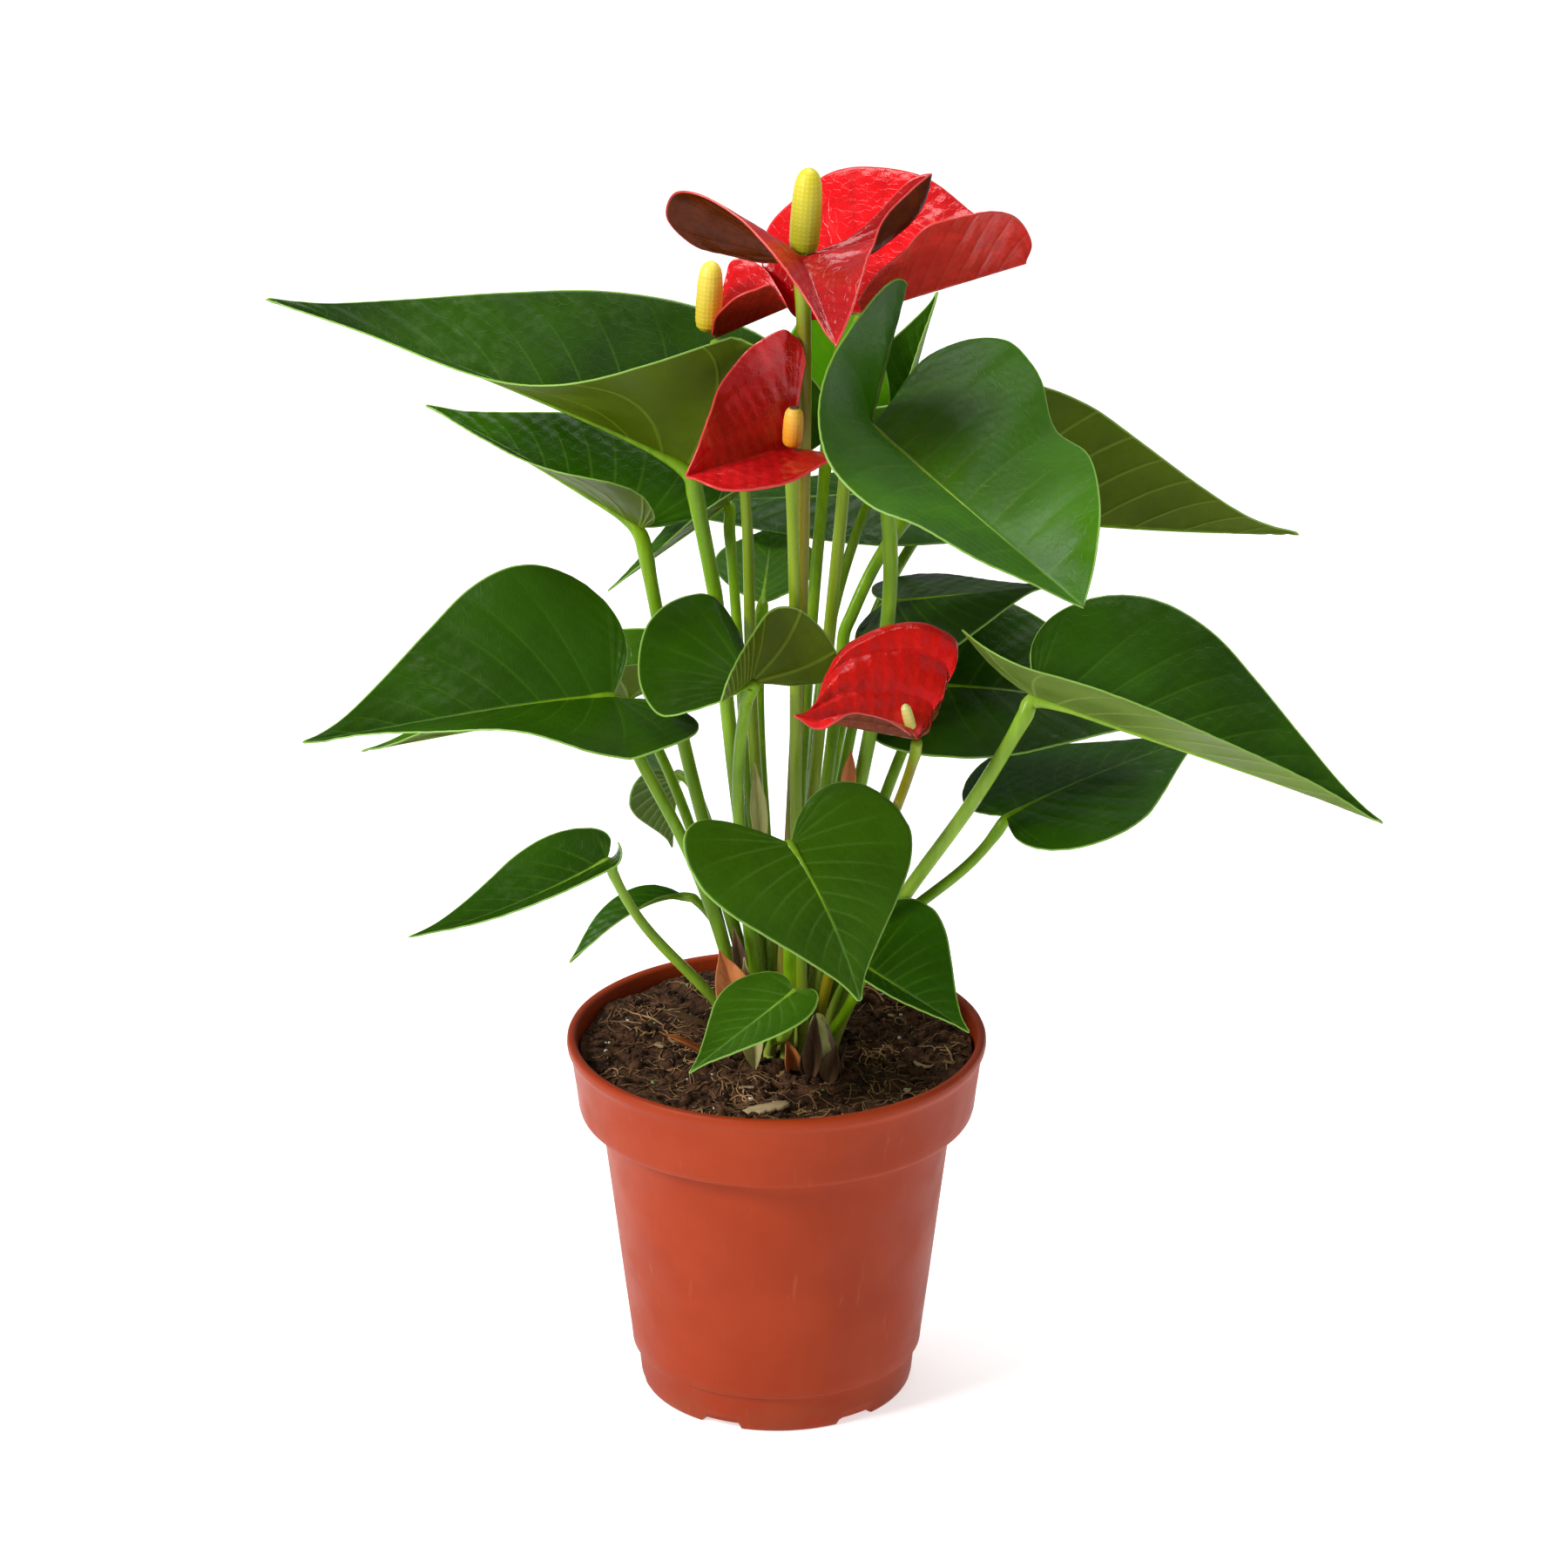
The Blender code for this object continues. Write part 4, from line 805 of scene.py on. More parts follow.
def stalk_piece(name, b, X, R, mat, ridge=.8, flat=.0):
    fr = spine_frame(b, [.02, .1, .25, .45, .65, ridge] if ridge else [.02])
    J, up = b.J, fr[0][1]
    r_top = R[-1]
    path = [X[0] - (0, 0, 2.5)] + [x for x in X[:-1]] + [J - up * (r_top * .75)]
    rr = [R[0] * 1.15, R[0] * 1.12] + list(R[1:-1]) + [r_top * 1.05]
    for k, (p, n_) in enumerate(fr[1:]):
        taper = (1 - (k + 1) / 5.6)
        path.append(p - n_ * (.25 + .35 * taper))
        rr.append(max(.22, r_top * .62 * taper))
    path, rr = np.array(path), np.array(rr)
    cum = np.concatenate([[0], np.cumsum(np.linalg.norm(np.diff(path, axis=0), axis=1))])
    s = np.linspace(0, 1, len(path))
    fine = np.linspace(0, 1, 150)
    P = spline(path, fine)
    Q = np.interp(fine, s, rr)
    # the knee: a short swelling just below the blade
    jt = s[min(len(X), len(s) - 1)]
    Q = Q * (1 + .16 * np.exp(-((fine - jt + .03) / .03) ** 2))
    return fine_tube(name, P, Q, mat, flat=flat)


# ---------------------------------------------------------------- pot and soil
def look_pot():
    prof = [(0, 0), (8.6, 0), (9.3, .6), (9.8, 2.6), (33.0, 2.6), (33.8, 1.8), (34.4, .2), (35, 0), (38.2, 0),
            (38.9, .25), (39.3, .9), (39.6, 2.2), (39.9, 5), (40.3, 9.5), (40.5, 11.2), (40.7, 11.7), (41.2, 12.0),
            (41.8, 12.1), (42.05, 12.5), (42.4, 16), (44.5, 33), (46.5, 50), (48.4, 66), (50.1, 80), (50.45, 82.6),
            (50.9, 84.0), (51.7, 85.0), (53.0, 85.5), (55.4, 85.8), (56.2, 86.0), (56.7, 86.5), (57.0, 87.6),
            (57.6, 93), (58.4, 99), (58.9, 103.2), (59.1, 104.2), (59.5, 104.7), (59.95, 105.2), (60.1, 106),
            (60.05, 107.2), (59.7, 108.0), (59.1, 108.3), (58.3, 108.3), (57.7, 108.0), (57.3, 107.2), (57.0, 104),
            (56.2, 96), (55.6, 88.4), (55.2, 87.3), (54, 86.8), (50.9, 86.4), (49.8, 85.6), (49.2, 83.4), (46, 55),
            (43, 31), (40.7, 13.2), (39.6, 5.0), (38.5, 4.3), (20, 4.2), (0, 4.2)]
    fine = [prof[0]]
    for a, c in zip(prof, prof[1:]):
        n = max(1, int(np.hypot(c[0] - a[0], c[1] - a[1]) / 2.2))
        fine += [(a[0] + (c[0] - a[0]) * k / n, a[1] + (c[1] - a[1]) * k / n) for k in range(1, n + 1)]
    seg = 288
    V, F, ring = [], [], []
    for r, z in fine:
        if r < 1e-6:
            ring.append([len(V)] * seg)
            V.append((0, 0, z))
            continue
        row = []
        for k in range(seg):
            a = 2 * math.pi * k / seg
            rr = r + (.10 * math.sin(3 * a + 1) + .05 * math.sin(7 * a)) * min(1, z / 60)
            zz = z + (.14 * math.sin(2 * a + .6) if z > 84 else 0)
            if z < 2.3 and r > 20:
                d = min(abs((math.degrees(a) + 90 + 24 - 60 * q + 180) % 360 - 180) for q in range(6))
                w = max(0, min(1, (8.9 - d) / .7))
                zz = zz + (2.3 - zz) * w
            row.append(len(V))
            V.append((rr * math.cos(a), rr * math.sin(a), zz))
        ring.append(row)
    for a, c in zip(ring, ring[1:]):
        for k in range(seg):
            q = [a[k], a[(k + 1) % seg], c[(k + 1) % seg], c[k]]
            un = []
            for x in q:
                if x not in un:
                    un.append(x)
            F.append(un)
    m = Mat('terracotta plastic look')
    n1 = m.ramp(m.noise(40, 5), .35, .7)
    c = m.mix(n1, (.295, .0300, .0040), (.330, .036, .0055))
    z = m.node('ShaderNodeSeparateXYZ')
    m.put(z.inputs[0], m.coord())
    low = m.ramp(z.outputs[2], .0, .016, .35, 0)
    c = m.mix(m.math('MULTIPLY', low, m.ramp(m.noise(90, 4), .4, .62)), c, (.22, .055, .02))
    scuff = m.ramp(m.noise(420, 3, .6, m.stretch(1, 1, .12)), .63, .78)
    c = m.mix(m.math('MULTIPLY', scuff, .16), c, (.50, .16, .08))
    b = m.bump(m.noise(700, 3), .00008, .5)
    b = m.bump(m.noise(1, 2, .5, m.stretch(18, 18, 260)), .00015, .25, b)
    m.set(Base_Color=c, Roughness=m.ramp(m.noise(55, 4), .3, .7, .42, .56), Normal=b, Specular_IOR_Level=.16)
    ob = mesh('nursery_pot_look', V, F, [m.m])
    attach(ob, 'root')
    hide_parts('nursery_pot')


def hash2(x, y, k):
    return np.modf(np.abs(np.sin(x * 12.9898 + y * 78.233 + k * 37.719) * 43758.5453))[0]


def vnoise(x, y, k):
    xi, yi = np.floor(x), np.floor(y)
    fx, fy = x - xi, y - yi
    fx, fy = fx * fx * (3 - 2 * fx), fy * fy * (3 - 2 * fy)
    a, b_, c, d = hash2(xi, yi, k), hash2(xi + 1, yi, k), hash2(xi, yi + 1, k), hash2(xi + 1, yi + 1, k)
    return a * (1 - fx) * (1 - fy) + b_ * fx * (1 - fy) + c * (1 - fx) * fy + d * fx * fy


def soil_height(x, y):
    r = np.hypot(x, y)
    h = SOIL_Z - .6 + 1.6 * (vnoise(x / 13, y / 13, 1) - .5) + 1.7 * (vnoise(x / 5, y / 5, 2) - .5) \
        + 1.3 * (vnoise(x / 2.1, y / 2.1, 3) - .5) + .7 * (vnoise(x / .9, y / .9, 4) - .5)
    return h + 1.2 * np.clip(1 - r / 26, 0, 1) + .5 * np.clip((r - 44) / 8, 0, 1)


def soil_material():
    m = Mat('peat look')
    a = m.ramp(m.noise(230, 6, .65), .32, .7)
    # the lighter tone and the pale flecks are partly the peat's own lighter bits and partly painted highlights of lit
    # crumbs
    c = m.mix(a, (.008, .004, .003), (.115, .050, .023))
    c = m.mix(m.ramp(m.noise(700, 4, .6), .58, .72, 0, .7), c, (.20, .105, .050))
    c = m.mix(m.ramp(m.noise(38, 3), .5, .75, 0, .5), c, (.055, .024, .012))
    b = m.bump(m.noise(900, 5, .65), .0006, .8)
    b = m.bump(m.voro(420), .0007, .5, b)
    return m.set(Base_Color=c, Roughness=.93, Normal=b, Specular_IOR_Level=.18)


def look_soil():
    mat = soil_material()
    R, seg = 56.2, 300
    rr = np.concatenate([[0], np.linspace(.6, R, 130)])
    V, F, ring = [], [], []
    side = [(0, 4.6), (38.6, 4.6), (40.0, 13.4), (48.5, 83.6), (49.3, 86.9), (54.6, 89.0), (R - .3, 101.5)]
    for r, z in side:
        if r == 0:
            ring.append([len(V)] * seg)
            V.append((0, 0, z))
        else:
            ring.append(list(range(len(V), len(V) + seg)))
            V += [(r * math.cos(2 * math.pi * k / seg), r * math.sin(2 * math.pi * k / seg), z) for k in range(seg)]
    for r in rr[::-1]:
        if r == 0:
            ring.append([len(V)] * seg)
            V.append((0, 0, float(soil_height(np.array(0.), np.array(0.)))))
        else:
            a = np.arange(seg) * 2 * math.pi / seg
            x, y = r * np.cos(a), r * np.sin(a)
            z = soil_height(x, y)
            ring.append(list(range(len(V), len(V) + seg)))
            V += list(np.stack([x, y, z], 1))
    for a, c in zip(ring, ring[1:]):
        for k in range(seg):
            q = [a[k], a[(k + 1) % seg], c[(k + 1) % seg], c[k]]
            un = []
            for x in q:
                if x not in un:
                    un.append(x)
            F.append(un)
    ob = mesh('potting_soil_look', V, F, [mat])
    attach(ob, 'root')
    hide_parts('potting_soil')

    # crumbs
    import itertools
    g = (1 + 5 ** .5) / 2
    iv = [(s1 * 1.0, s2 * g, 0.0) for s1, s2 in itertools.product((-1, 1), repeat=2)]
    iv += [(0.0, s1 * 1.0, s2 * g) for s1, s2 in itertools.product((-1, 1), repeat=2)]
    iv += [(s2 * g, 0.0, s1 * 1.0) for s1, s2 in itertools.product((-1, 1), repeat=2)]
    bm = bmesh.new()
    bmesh.ops.create_icosphere(bm, subdivisions=2, radius=1)
    bm.verts.ensure_lookup_table()
    bv = np.array([v.co[:] for v in bm.verts])
    bf = [[v.index for v in f.verts] for f in bm.faces]
    bm.free()

    def crumbs(name, count, lo, hi, mat, squash=.75, seed=3, rmax=55.0, lift=.15):
        rng = np.random.default_rng(seed)
        V, F = [], []
        for q in range(count):
            r = rmax * math.sqrt(rng.uniform(0.0, 1))
            a = rng.uniform(0, 2 * math.pi)
            x, y = r * math.cos(a), r * math.sin(a)
            s = lo + (hi - lo) * rng.uniform() ** 2.2
            s = min(s, 56 - r) if r > 53 else s
            p = bv * (1 + .38 * (vnoise(bv[:, 0] * 1.7 + q * 7.1, bv[:, 1] * 1.7 + bv[:, 2] * 2.3, 5)[:, None] - .5) * 2)
            ax = rng.normal(size=3)
            ax /= np.linalg.norm(ax)
            ang = rng.uniform(0, 6.28)
            K = np.array([[0, -ax[2], ax[1]], [ax[2], 0, -ax[0]], [-ax[1], ax[0], 0]])
            M = np.eye(3) + math.sin(ang) * K + (1 - math.cos(ang)) * K @ K
            p = (p * s * np.array([1, rng.uniform(.55, 1), rng.uniform(.5, .9)])) @ M.T
            z = float(soil_height(np.array(x), np.array(y)))
            p = p + (x, y, z + s * lift)
            base = len(V)
            V += list(p)
            F += [[base + i for i in f] for f in bf]
        o = mesh(name, V, F, [mat])
        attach(o, 'root')
        return o
    crumbs('soil_crumbs_fine', 1500, .35, 1.1, mat)
    crumbs('soil_crumbs_coarse', 260, .9, 2.3, mat, seed=5, rmax=53.5)
    pm = Mat('perlite look')
    pm.set(Base_Color=pm.mix(pm.noise(500, 3), (.50, .46, .38), (.72, .70, .62)), Roughness=.8,
           Normal=pm.bump(pm.noise(1200, 3), .0003, .6))
    crumbs('soil_perlite', 26, .45, .95, pm.m, seed=8, rmax=54, lift=.4)
    gm = Mat('green bits look')
    gm.set(Base_Color=gm.mix(gm.noise(300, 3), (.10, .22, .05), (.22, .34, .10)), Roughness=.6)
    crumbs('soil_green_bits', 9, .5, .95, gm.m, seed=21, rmax=50, lift=.5)

    # fibres and fine roots
    fm = Mat('fibre look')
    fc = fm.mix(fm.ramp(fm.noise(60, 2), .35, .65), (.10, .040, .014), (.42, .24, .10))
    fm.set(Base_Color=fc, Roughness=.8, Normal=fm.bump(fm.noise(1500, 3, .5, fm.stretch(1, 1, 1)), .0002, .5))
    rng = np.random.default_rng(17)
    V, F = [], []
    for q in range(460):
        r = 54 * math.sqrt(rng.uniform(0.05, 1))
        a = rng.uniform(0, 2 * math.pi)
        p = np.array([r * math.cos(a), r * math.sin(a)])
        d = rng.uniform(0, 2 * math.pi)
        ln = rng.uniform(3, 15) if q % 6 else rng.uniform(14, 26)
        n = 9
        pts = []
        turn = rng.normal(0, .28)
        for k in range(n):
            z = float(soil_height(np.array(p[0]), np.array(p[1])))
            pts.append((p[0], p[1], z + .35 + .9 * math.sin(k * .8 + q) * (k % 2) * rng.uniform(0, .6)))
            d += turn + rng.normal(0, .22)
            stp = ln / n
            nxt = p + stp * np.array([math.cos(d), math.sin(d)])
            if np.hypot(*nxt) > 55:
                d += 2.2
                nxt = p + stp * np.array([math.cos(d), math.sin(d)])
                if np.hypot(*nxt) > 55.2:
                    nxt = p * .98
            p = nxt
        pts = spline(np.array(pts), np.linspace(0, 1, 20))
        w = rng.uniform(.09, .22) if q % 9 else rng.uniform(.22, .42)
        T = np.gradient(pts, axis=0)
        T /= np.linalg.norm(T, axis=1, keepdims=True) + 1e-9
        base = len(V)
        for i in range(20):
            A = np.cross(T[i], (0, 0, 1.0))
            A /= np.linalg.norm(A) + 1e-9
            B = np.cross(T[i], A)
            rad_ = w * (1 - .6 * abs(i / 19 - .4))
            for s in range(5):
                th = s * 2 * math.pi / 5
                V.append(pts[i] + rad_ * (math.cos(th) * A + math.sin(th) * B))
        for i in range(19):
            for s in range(5):
                F.append([base + i * 5 + s, base + i * 5 + (s + 1) % 5, base + (i + 1) * 5 + (s + 1) % 5,
                          base + (i + 1) * 5 + s])
        F.append([base + s for s in range(4, -1, -1)])
        F.append([base + 95 + s for s in range(5)])
    o = mesh('soil_fibres', V, F, [fm.m])
    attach(o, 'root')

    # wood chip, bark flakes and a pale curl
    wm = Mat('wood chip look')
    wm.set(Base_Color=wm.mix(wm.ramp(wm.noise(260, 4, .6, wm.stretch(.25, 1, 1)), .3, .7), (.28, .17, .085),
                             (.50, .36, .20)), Roughness=.75,
           Normal=wm.bump(wm.noise(600, 4, .6, wm.stretch(.2, 1, 1)), .0004, .7))
    V, F = [], []

    def chip(x, y, ln, wd, th, ang, seed, bend=.0):
        rng = np.random.default_rng(seed)
        base = len(V)
        nx, ny = 14, 5
        z0 = float(soil_height(np.array(x), np.array(y))) + .9
        ca, sa = math.cos(ang), math.sin(ang)
        tilt = rng.uniform(-.12, .12)
        for lay in (0, 1):
            for i in range(nx):
                for j in range(ny):
                    u, v = i / (nx - 1) - .5, j / (ny - 1) - .5
                    rag = 1 + .18 * math.sin(i * 2.1 + seed) + .1 * math.sin(i * 5.3)
                    X_, Y_ = u * ln * (1 + .08 * math.sin(j * 3 + seed)), v * wd * rag * (1 - .5 * abs(2 * u) ** 4)
                    Z_ = th * (lay - .5) + .12 * math.sin(i * 1.9 + j * 2.7 + seed) + bend * u * u * 4 + tilt * X_
                    V.append((x + ca * X_ - sa * Y_, y + sa * X_ + ca * Y_, z0 + Z_))
        def id_(lay, i, j):
            return base + lay * nx * ny + i * ny + j
        for i in range(nx - 1):
            for j in range(ny - 1):
                F.append([id_(1, i, j), id_(1, i + 1, j), id_(1, i + 1, j + 1), id_(1, i, j + 1)])
                F.append([id_(0, i, j), id_(0, i, j + 1), id_(0, i + 1, j + 1), id_(0, i + 1, j)])
        for i in range(nx - 1):
            F.append([id_(0, i, 0), id_(0, i + 1, 0), id_(1, i + 1, 0), id_(1, i, 0)])
            F.append([id_(0, i + 1, ny - 1), id_(0, i, ny - 1), id_(1, i, ny - 1), id_(1, i + 1, ny - 1)])
        for j in range(ny - 1):
            F.append([id_(0, 0, j + 1), id_(0, 0, j), id_(1, 0, j), id_(1, 0, j + 1)])
            F.append([id_(0, nx - 1, j), id_(0, nx - 1, j + 1), id_(1, nx - 1, j + 1), id_(1, nx - 1, j)])
    chip(-3, -43, 13, 4.2, 1.3, .25, 4)
    chip(42, -15, 6.5, 1.6, .5, -.6, 9, bend=1.1)
    for k in range(5):
        a, r = rng.uniform(0, 6.28), rng.uniform(30, 50)
        chip(r * math.cos(a), r * math.sin(a), rng.uniform(2, 4.5), rng.uniform(.8, 1.5), rng.uniform(.4, .7),
             rng.uniform(0, 3.14), 30 + k)
    o = mesh('soil_chips', V, F, [wm.m])
    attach(o, 'root')


# ---------------------------------------------------------------- build it all
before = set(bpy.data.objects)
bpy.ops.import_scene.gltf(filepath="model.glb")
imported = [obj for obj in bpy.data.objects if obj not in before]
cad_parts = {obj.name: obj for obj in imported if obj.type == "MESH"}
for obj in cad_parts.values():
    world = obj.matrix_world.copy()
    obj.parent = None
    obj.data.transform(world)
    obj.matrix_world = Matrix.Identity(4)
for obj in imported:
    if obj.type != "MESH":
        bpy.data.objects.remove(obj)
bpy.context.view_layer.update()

look_pot()
look_soil()

UP = {
    'dark': leaf_upper('leaf upper dark', (.011, .036, .0006), (.022, .074, .0010), (.060, .15, .008), (.26, .42), .10),
    'mid': leaf_upper('leaf upper mid', (.015, .056, .0007), (.028, .098, .0012), (.080, .18, .012), glow=.14),
    'shiny': leaf_upper('leaf upper shiny', (.018, .052, .0006), (.042, .135, .0012), (.10, .22, .015), (.26, .38), .3, .27),
    'fresh': leaf_upper('leaf upper fresh', (.030, .082, .002), (.050, .135, .004), (.11, .24, .03), glow=.2),
    'bright': leaf_upper('leaf upper bright', (.06, .18, .001), (.10, .27, .002), (.18, .36, .02), (.3, .5), .4),
}
UNDER = {
    'olive': leaf_under('leaf under olive', (.085, .130, .002), (.15, .22, .012), .16),
    'pale': leaf_under('leaf under pale', (.150, .230, .035), (.24, .34, .07), .2),
    'bright': leaf_under('leaf under bright', (.10, .24, .002), (.20, .38, .02), .4),
}
rim = Mat('leaf margin')
RIM = rim.set(Base_Color=(.19, .36, .04), Roughness=.4)
rim = Mat('spathe margin')
RRIM = rim.set(Base_Color=(.55, .04, .03), Roughness=.3)
TONE = {1: ('dark', 'olive'), 2: ('mid', 'olive'), 3: ('dark', 'olive'), 4: ('dark', 'olive'), 5: ('fresh', 'pale'),
        6: ('shiny', 'pale'), 7: ('mid', 'olive'), 8: ('mid', 'olive'), 9: ('bright', 'bright'), 10: ('mid', 'pale'),
        11: ('dark', 'pale'), 12: ('dark', 'olive'), 13: ('dark', 'olive'), 14: ('mid', 'olive'),
        15: ('fresh', 'olive'), 16: ('fresh', 'pale'), 17: ('mid', 'pale'), 18: ('dark', 'pale'),
        19: ('mid', 'pale'), 20: ('mid', 'pale'), 21: ('fresh', 'olive'), 22: ('mid', 'olive')}
PATHS = stalk_paths()
STALK = {
    'green': stalk_mat('stalk green', (.115, .240, .002), (.190, .340, .005)),
    'pale': stalk_mat('stalk pale', (.170, .300, .015), (.240, .390, .030)),
    'brown': stalk_mat('flower stalk brown', (.150, .125, .002), (.210, .195, .004)),
    'mixed': stalk_mat('flower stalk green', (.140, .220, .002), (.210, .300, .006)),
}
for n, b in LOOK_LEAVES.items():
    k = int(n[-2:])
    up, un = TONE[k]
    big = b.L > 60
    ob = fine_blade(n + '_look', b, [UP[up], UNDER[un], RIM], puff=.20 if big else .12, groove=2.0 if big else 1.3,
                    wave=.9 if big else .4, seed=k, cross=40 if big else 26, per=11 if big else 7)
    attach(ob, 'root')
    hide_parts(n)
    X, R = PATHS[n]
    st = stalk_piece(n.replace('leaf', 'petiole') + '_look', b, X, R, STALK['pale' if k in (11, 16, 18) else 'green'],
                     flat=.22 if k in (7, 12, 13, 8) else .08)
    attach(st, 'root')
    if n not in ONE_PIECE:
        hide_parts(n.replace('leaf', 'petiole'))

SU = spathe_upper('spathe upper')
# painted light: a lighter copy of the spathe red for spathe_5, standing in for light that its tilt keeps off it
SU_LIT = spathe_upper('spathe upper painted light', (.97, .014, .016), (.70, .005, .007))
# painted shade: a darker copy of the spathe red, standing for the shade inside the hollow of spathe_4; spathe_1 takes
# it too
SU_SHADED = spathe_upper('spathe upper painted shade', (.66, .010, .012), (.34, .003, .004))
SUD = {
    'spathe_1': spathe_under('spathe under brown', (.085, .014, .001), (.035, .007, .001)),
    'spathe_2': spathe_under('spathe under pink', (.78, .042, .032), (.36, .020, .015)),
    'spathe_3': spathe_under('spathe under dark', (.52, .030, .014), (.26, .012, .006)),
    'spathe_4': spathe_under('spathe under red', (.55, .012, .012), (.34, .008, .008)),
    'spathe_5': spathe_under('spathe under tan', (.21, .045, .012), (.12, .020, .008)),
}
for k, (n, b) in enumerate(SPATHES.items()):
    ob = fine_blade(n + '_look', b, [{'spathe_1': SU_SHADED, 'spathe_4': SU_SHADED, 'spathe_5': SU_LIT}.get(n, SU), SUD[n], RRIM], puff=.22 if n != 'spathe_5' else .3, groove=2.6, wave=.8,
                    arcs=.2 if n != 'spathe_5' else 1.5,
                    thick=.55, seed=50 + k, cross=44, per=12)
    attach(ob, 'root')
    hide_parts(n)
    X, R = PATHS[n]
    st = stalk_piece(n.replace('spathe', 'peduncle') + '_look', b, X, R,
                     STALK['brown' if n in ('spathe_1', 'spathe_5') else 'mixed'], ridge=0, flat=0)
    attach(st, 'root')
    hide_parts(n.replace('spathe', 'peduncle'))

SPX = {
    'spadix_1': spadix_mat('spadix green yellow', (.40, .40, .006), (.70, .60, .025)),
    'spadix_2': spadix_mat('spadix yellow back', (.60, .50, .04), (.72, .64, .10)),
    'spadix_3': spadix_mat('spadix yellow', (.80, .60, .03), (.88, .70, .08)),
    'spadix_4': spadix_mat('spadix orange', (.86, .34, .01), (.90, .52, .06)),
    'spadix_5': spadix_mat('spadix pale', (.60, .52, .10), (.74, .70, .25)),
}
for n, (a, c, r) in SPADICES.items():
    a, c = np.array(a, float), np.array(c, float)
    a = a - unit(c - a) * 2.0
    s = np.linspace(0, 1, 110)
    w = np.interp(s, [0, .05, .14, .35, .65, .82, .9, .95, .98, 1], [.62, .88, 1, 1.03, 1.0, .90, .76, .58, .38, .12])
    ob = fine_tube(n + '_look', a + (c - a) * s[:, None], w * r, SPX[n], sides=96, bumps=.022)
    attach(ob, 'root')
    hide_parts(n)

# crown: pale shoot bases wrapped in dry scales
cm = Mat('crown look')
cc = cm.mix(cm.ramp(cm.noise(150, 4), .35, .65), (.30, .34, .06), (.50, .50, .17))
cc = cm.mix(cm.ramp(cm.attr('along'), .18, .42, 1, 0), cc, (.085, .040, .018))
cc = cm.mix(cm.ramp(cm.noise(120, 5, .6, cm.stretch(1, 1, .3)), .5, .62), cc, (.13, .062, .028))
cm.set(Base_Color=cc, Roughness=.55, Normal=cm.bump(cm.noise(500, 4, .6, cm.stretch(1, 1, .3)), .0005, .7))
x0, y0 = CROWN_AT
s = np.linspace(0, 1, 60)
pts = np.stack([x0 - 1.2 * s, y0 + 2.2 * s, 103 + 19 * s], 1)
w = np.interp(s, [0, .15, .35, .6, .85, .96, 1], [4.6, 5.3, 5.0, 3.9, 2.6, 1.6, .5])
ob = fine_tube('crown_shoot_look', pts, w, cm.m, sides=48, bumps=.02)
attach(ob, 'root')
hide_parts('crown_shoot')


def sheath_mat(name, a, c_):
    m = Mat(name)
    k = m.mix(m.ramp(m.noise(220, 4, .6, m.stretch(1, 1, .15)), .3, .7), a, c_)
    m.set(Base_Color=k, Roughness=.6, Normal=m.bump(m.noise(420, 4, .6, m.stretch(1, 1, .12)), .0004, .7))
    m.translucent(tuple(min(1, x * 2) for x in c_), .15)
    return m.m


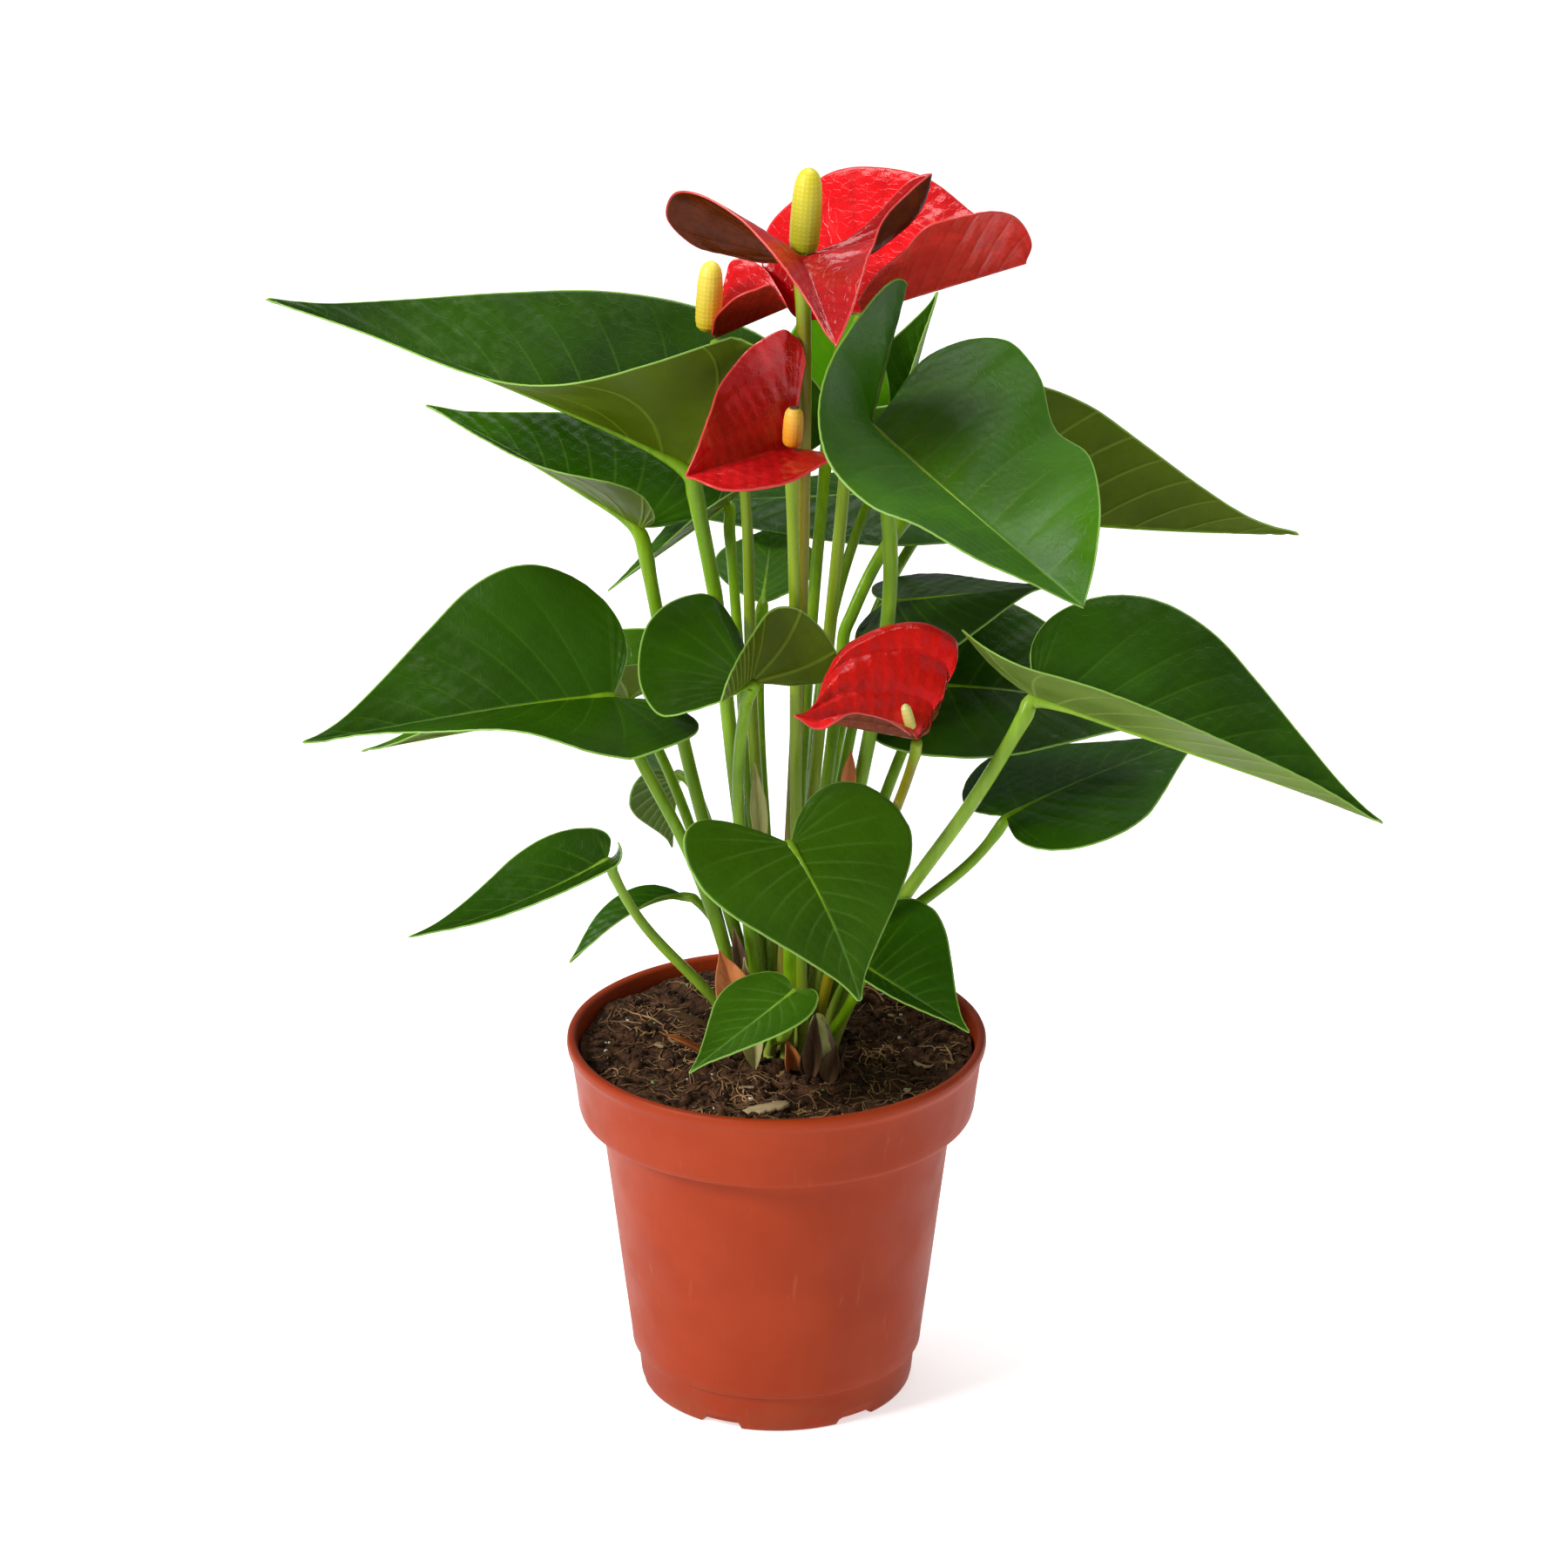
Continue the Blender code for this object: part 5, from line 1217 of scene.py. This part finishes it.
SH = {'cream': sheath_mat('sheath cream', (.34, .34, .10), (.52, .46, .20)),
      'orange': sheath_mat('sheath orange', (.38, .095, .018), (.62, .22, .055)),
      'brown': sheath_mat('sheath brown', (.085, .040, .018), (.20, .105, .045)),
      'pale': sheath_mat('sheath pale', (.25, .24, .07), (.40, .40, .14))}
LOOK_SHEATHS = [
    ('sheath_front_look', SHEATHS['sheath_front'], 'orange', 'sheath_front'),
    ('sheath_left_look', SHEATHS['sheath_left'], 'brown', 'sheath_left'),
    ('sheath_tall_look', SHEATHS['sheath_tall'], 'pale', 'sheath_tall'),
    ('sheath_front_b', blade((-8, -19, 119), (-16, -21, 143), (6.5, 6), head=95, fold=(35, 25), out='ov'), 'orange', None),
    ('sheath_base_a', blade((-6, -19, 105), (-9, -17, 139), (5, 5), head=92, fold=(45, 45), out='ov'), 'cream', None),
    ('sheath_base_c', blade((10, -24.5, 104), (11, -22, 124), (4, 4), head=85, fold=(50, 50), out='ov'), 'brown', None),
    ('sheath_left_b', blade((-16, -17, 106), (-33, -21, 118), (3.5, 3.5), fold=(25, 20), out='ov'), 'orange', None),
    ('sheath_mid', blade((-9, -10, 128), (-12, -11, 146), (2.5, 2.5), head=95, fold=(40, 40), out='ov'), 'brown', None),
    ('sheath_right_tall', blade((20, -2, 182), (21, -3, 196), (2.6, 2.6), head=85, fold=(40, 40), out='ov'), 'orange', None),
    ('crown_scale_1', blade((9, -23, 104), (10, -23, 118), (4, 4), head=90, fold=(45, 45), out='ov'), 'brown', None),
    ('crown_scale_2', blade((15, -25, 103.5), (17, -24, 115), (4, 4), head=70, fold=(45, 45), out='ov'), 'brown', None),
    ('crown_scale_3', blade((18, -19, 103.5), (20, -18, 113), (4, 4), head=30, fold=(45, 45), out='ov'), 'brown', None),
    ('crown_scale_4', blade((4, -19, 104), (3, -20, 115), (3.5, 3.5), head=120, fold=(45, 45), out='ov'), 'orange', None),
    ('crown_scale_5', blade((-13, -10, 104), (-17, -12, 115), (3.5, 3.5), head=150, fold=(45, 45), out='ov'), 'brown', None),
]
for k, (n, b, tone, node) in enumerate(LOOK_SHEATHS):
    ob = fine_blade(n, b, [SH[tone], SH[tone], SH[tone]], puff=.12, groove=.8, wave=.25, thick=.25, seed=80 + k,
                    cross=14, per=4)
    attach(ob, 'root')
    if node:
        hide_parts(node)

# ---------------------------------------------------------------- stage
world = bpy.data.worlds.new('studio')
bpy.context.scene.world = world
world.use_nodes = True
bg = world.node_tree.nodes['Background']
bg.inputs['Color'].default_value = (1, 1, 1, 1)
bg.inputs['Strength'].default_value = .32

bm = bmesh.new()
bmesh.ops.create_grid(bm, x_segments=2, y_segments=2, size=6)
fm_ = bpy.data.meshes.new('floor')
bm.to_mesh(fm_)
bm.free()
floor = bpy.data.objects.new('floor', fm_)
bpy.context.scene.collection.objects.link(floor)
m = Mat('pale floor')
floor.data.materials.append(m.set(Base_Color=(.84, .84, .84), Roughness=.7, Specular_IOR_Level=.1,
                                   Emission_Color=(1, 1, 1), Emission_Strength=.60))


def area(name, loc, target, size, power, colour=(1, 1, 1)):
    l = bpy.data.lights.new(name, 'AREA')
    l.shape = 'DISK'
    l.size = size
    l.energy = power
    l.color = colour
    o = bpy.data.objects.new(name, l)
    bpy.context.scene.collection.objects.link(o)
    o.location = loc
    d = Vector(target) - Vector(loc)
    o.rotation_euler = d.to_track_quat('-Z', 'Y').to_euler()


area('key', (-1.35, -.85, 1.25), (0, 0, .2), .6, 35)
area('top', (.15, .25, 1.6), (0, 0, .2), 1.0, 16)
area('fill', (1.5, -.9, .8), (0, 0, .2), 1.2, .3)

cam = bpy.data.cameras.new('camera')
cam.lens = 122.43
cam.sensor_width = 36
cam.clip_start, cam.clip_end = .05, 30
co = bpy.data.objects.new('camera', cam)
bpy.context.scene.collection.objects.link(co)
co.location = (.0022, -1.3945, .7373)
d = Vector((.0022, 0, .1847)) - co.location
co.rotation_euler = d.to_track_quat('-Z', 'Y').to_euler()
bpy.context.scene.camera = co
bpy.context.scene.view_settings.view_transform = 'Standard'
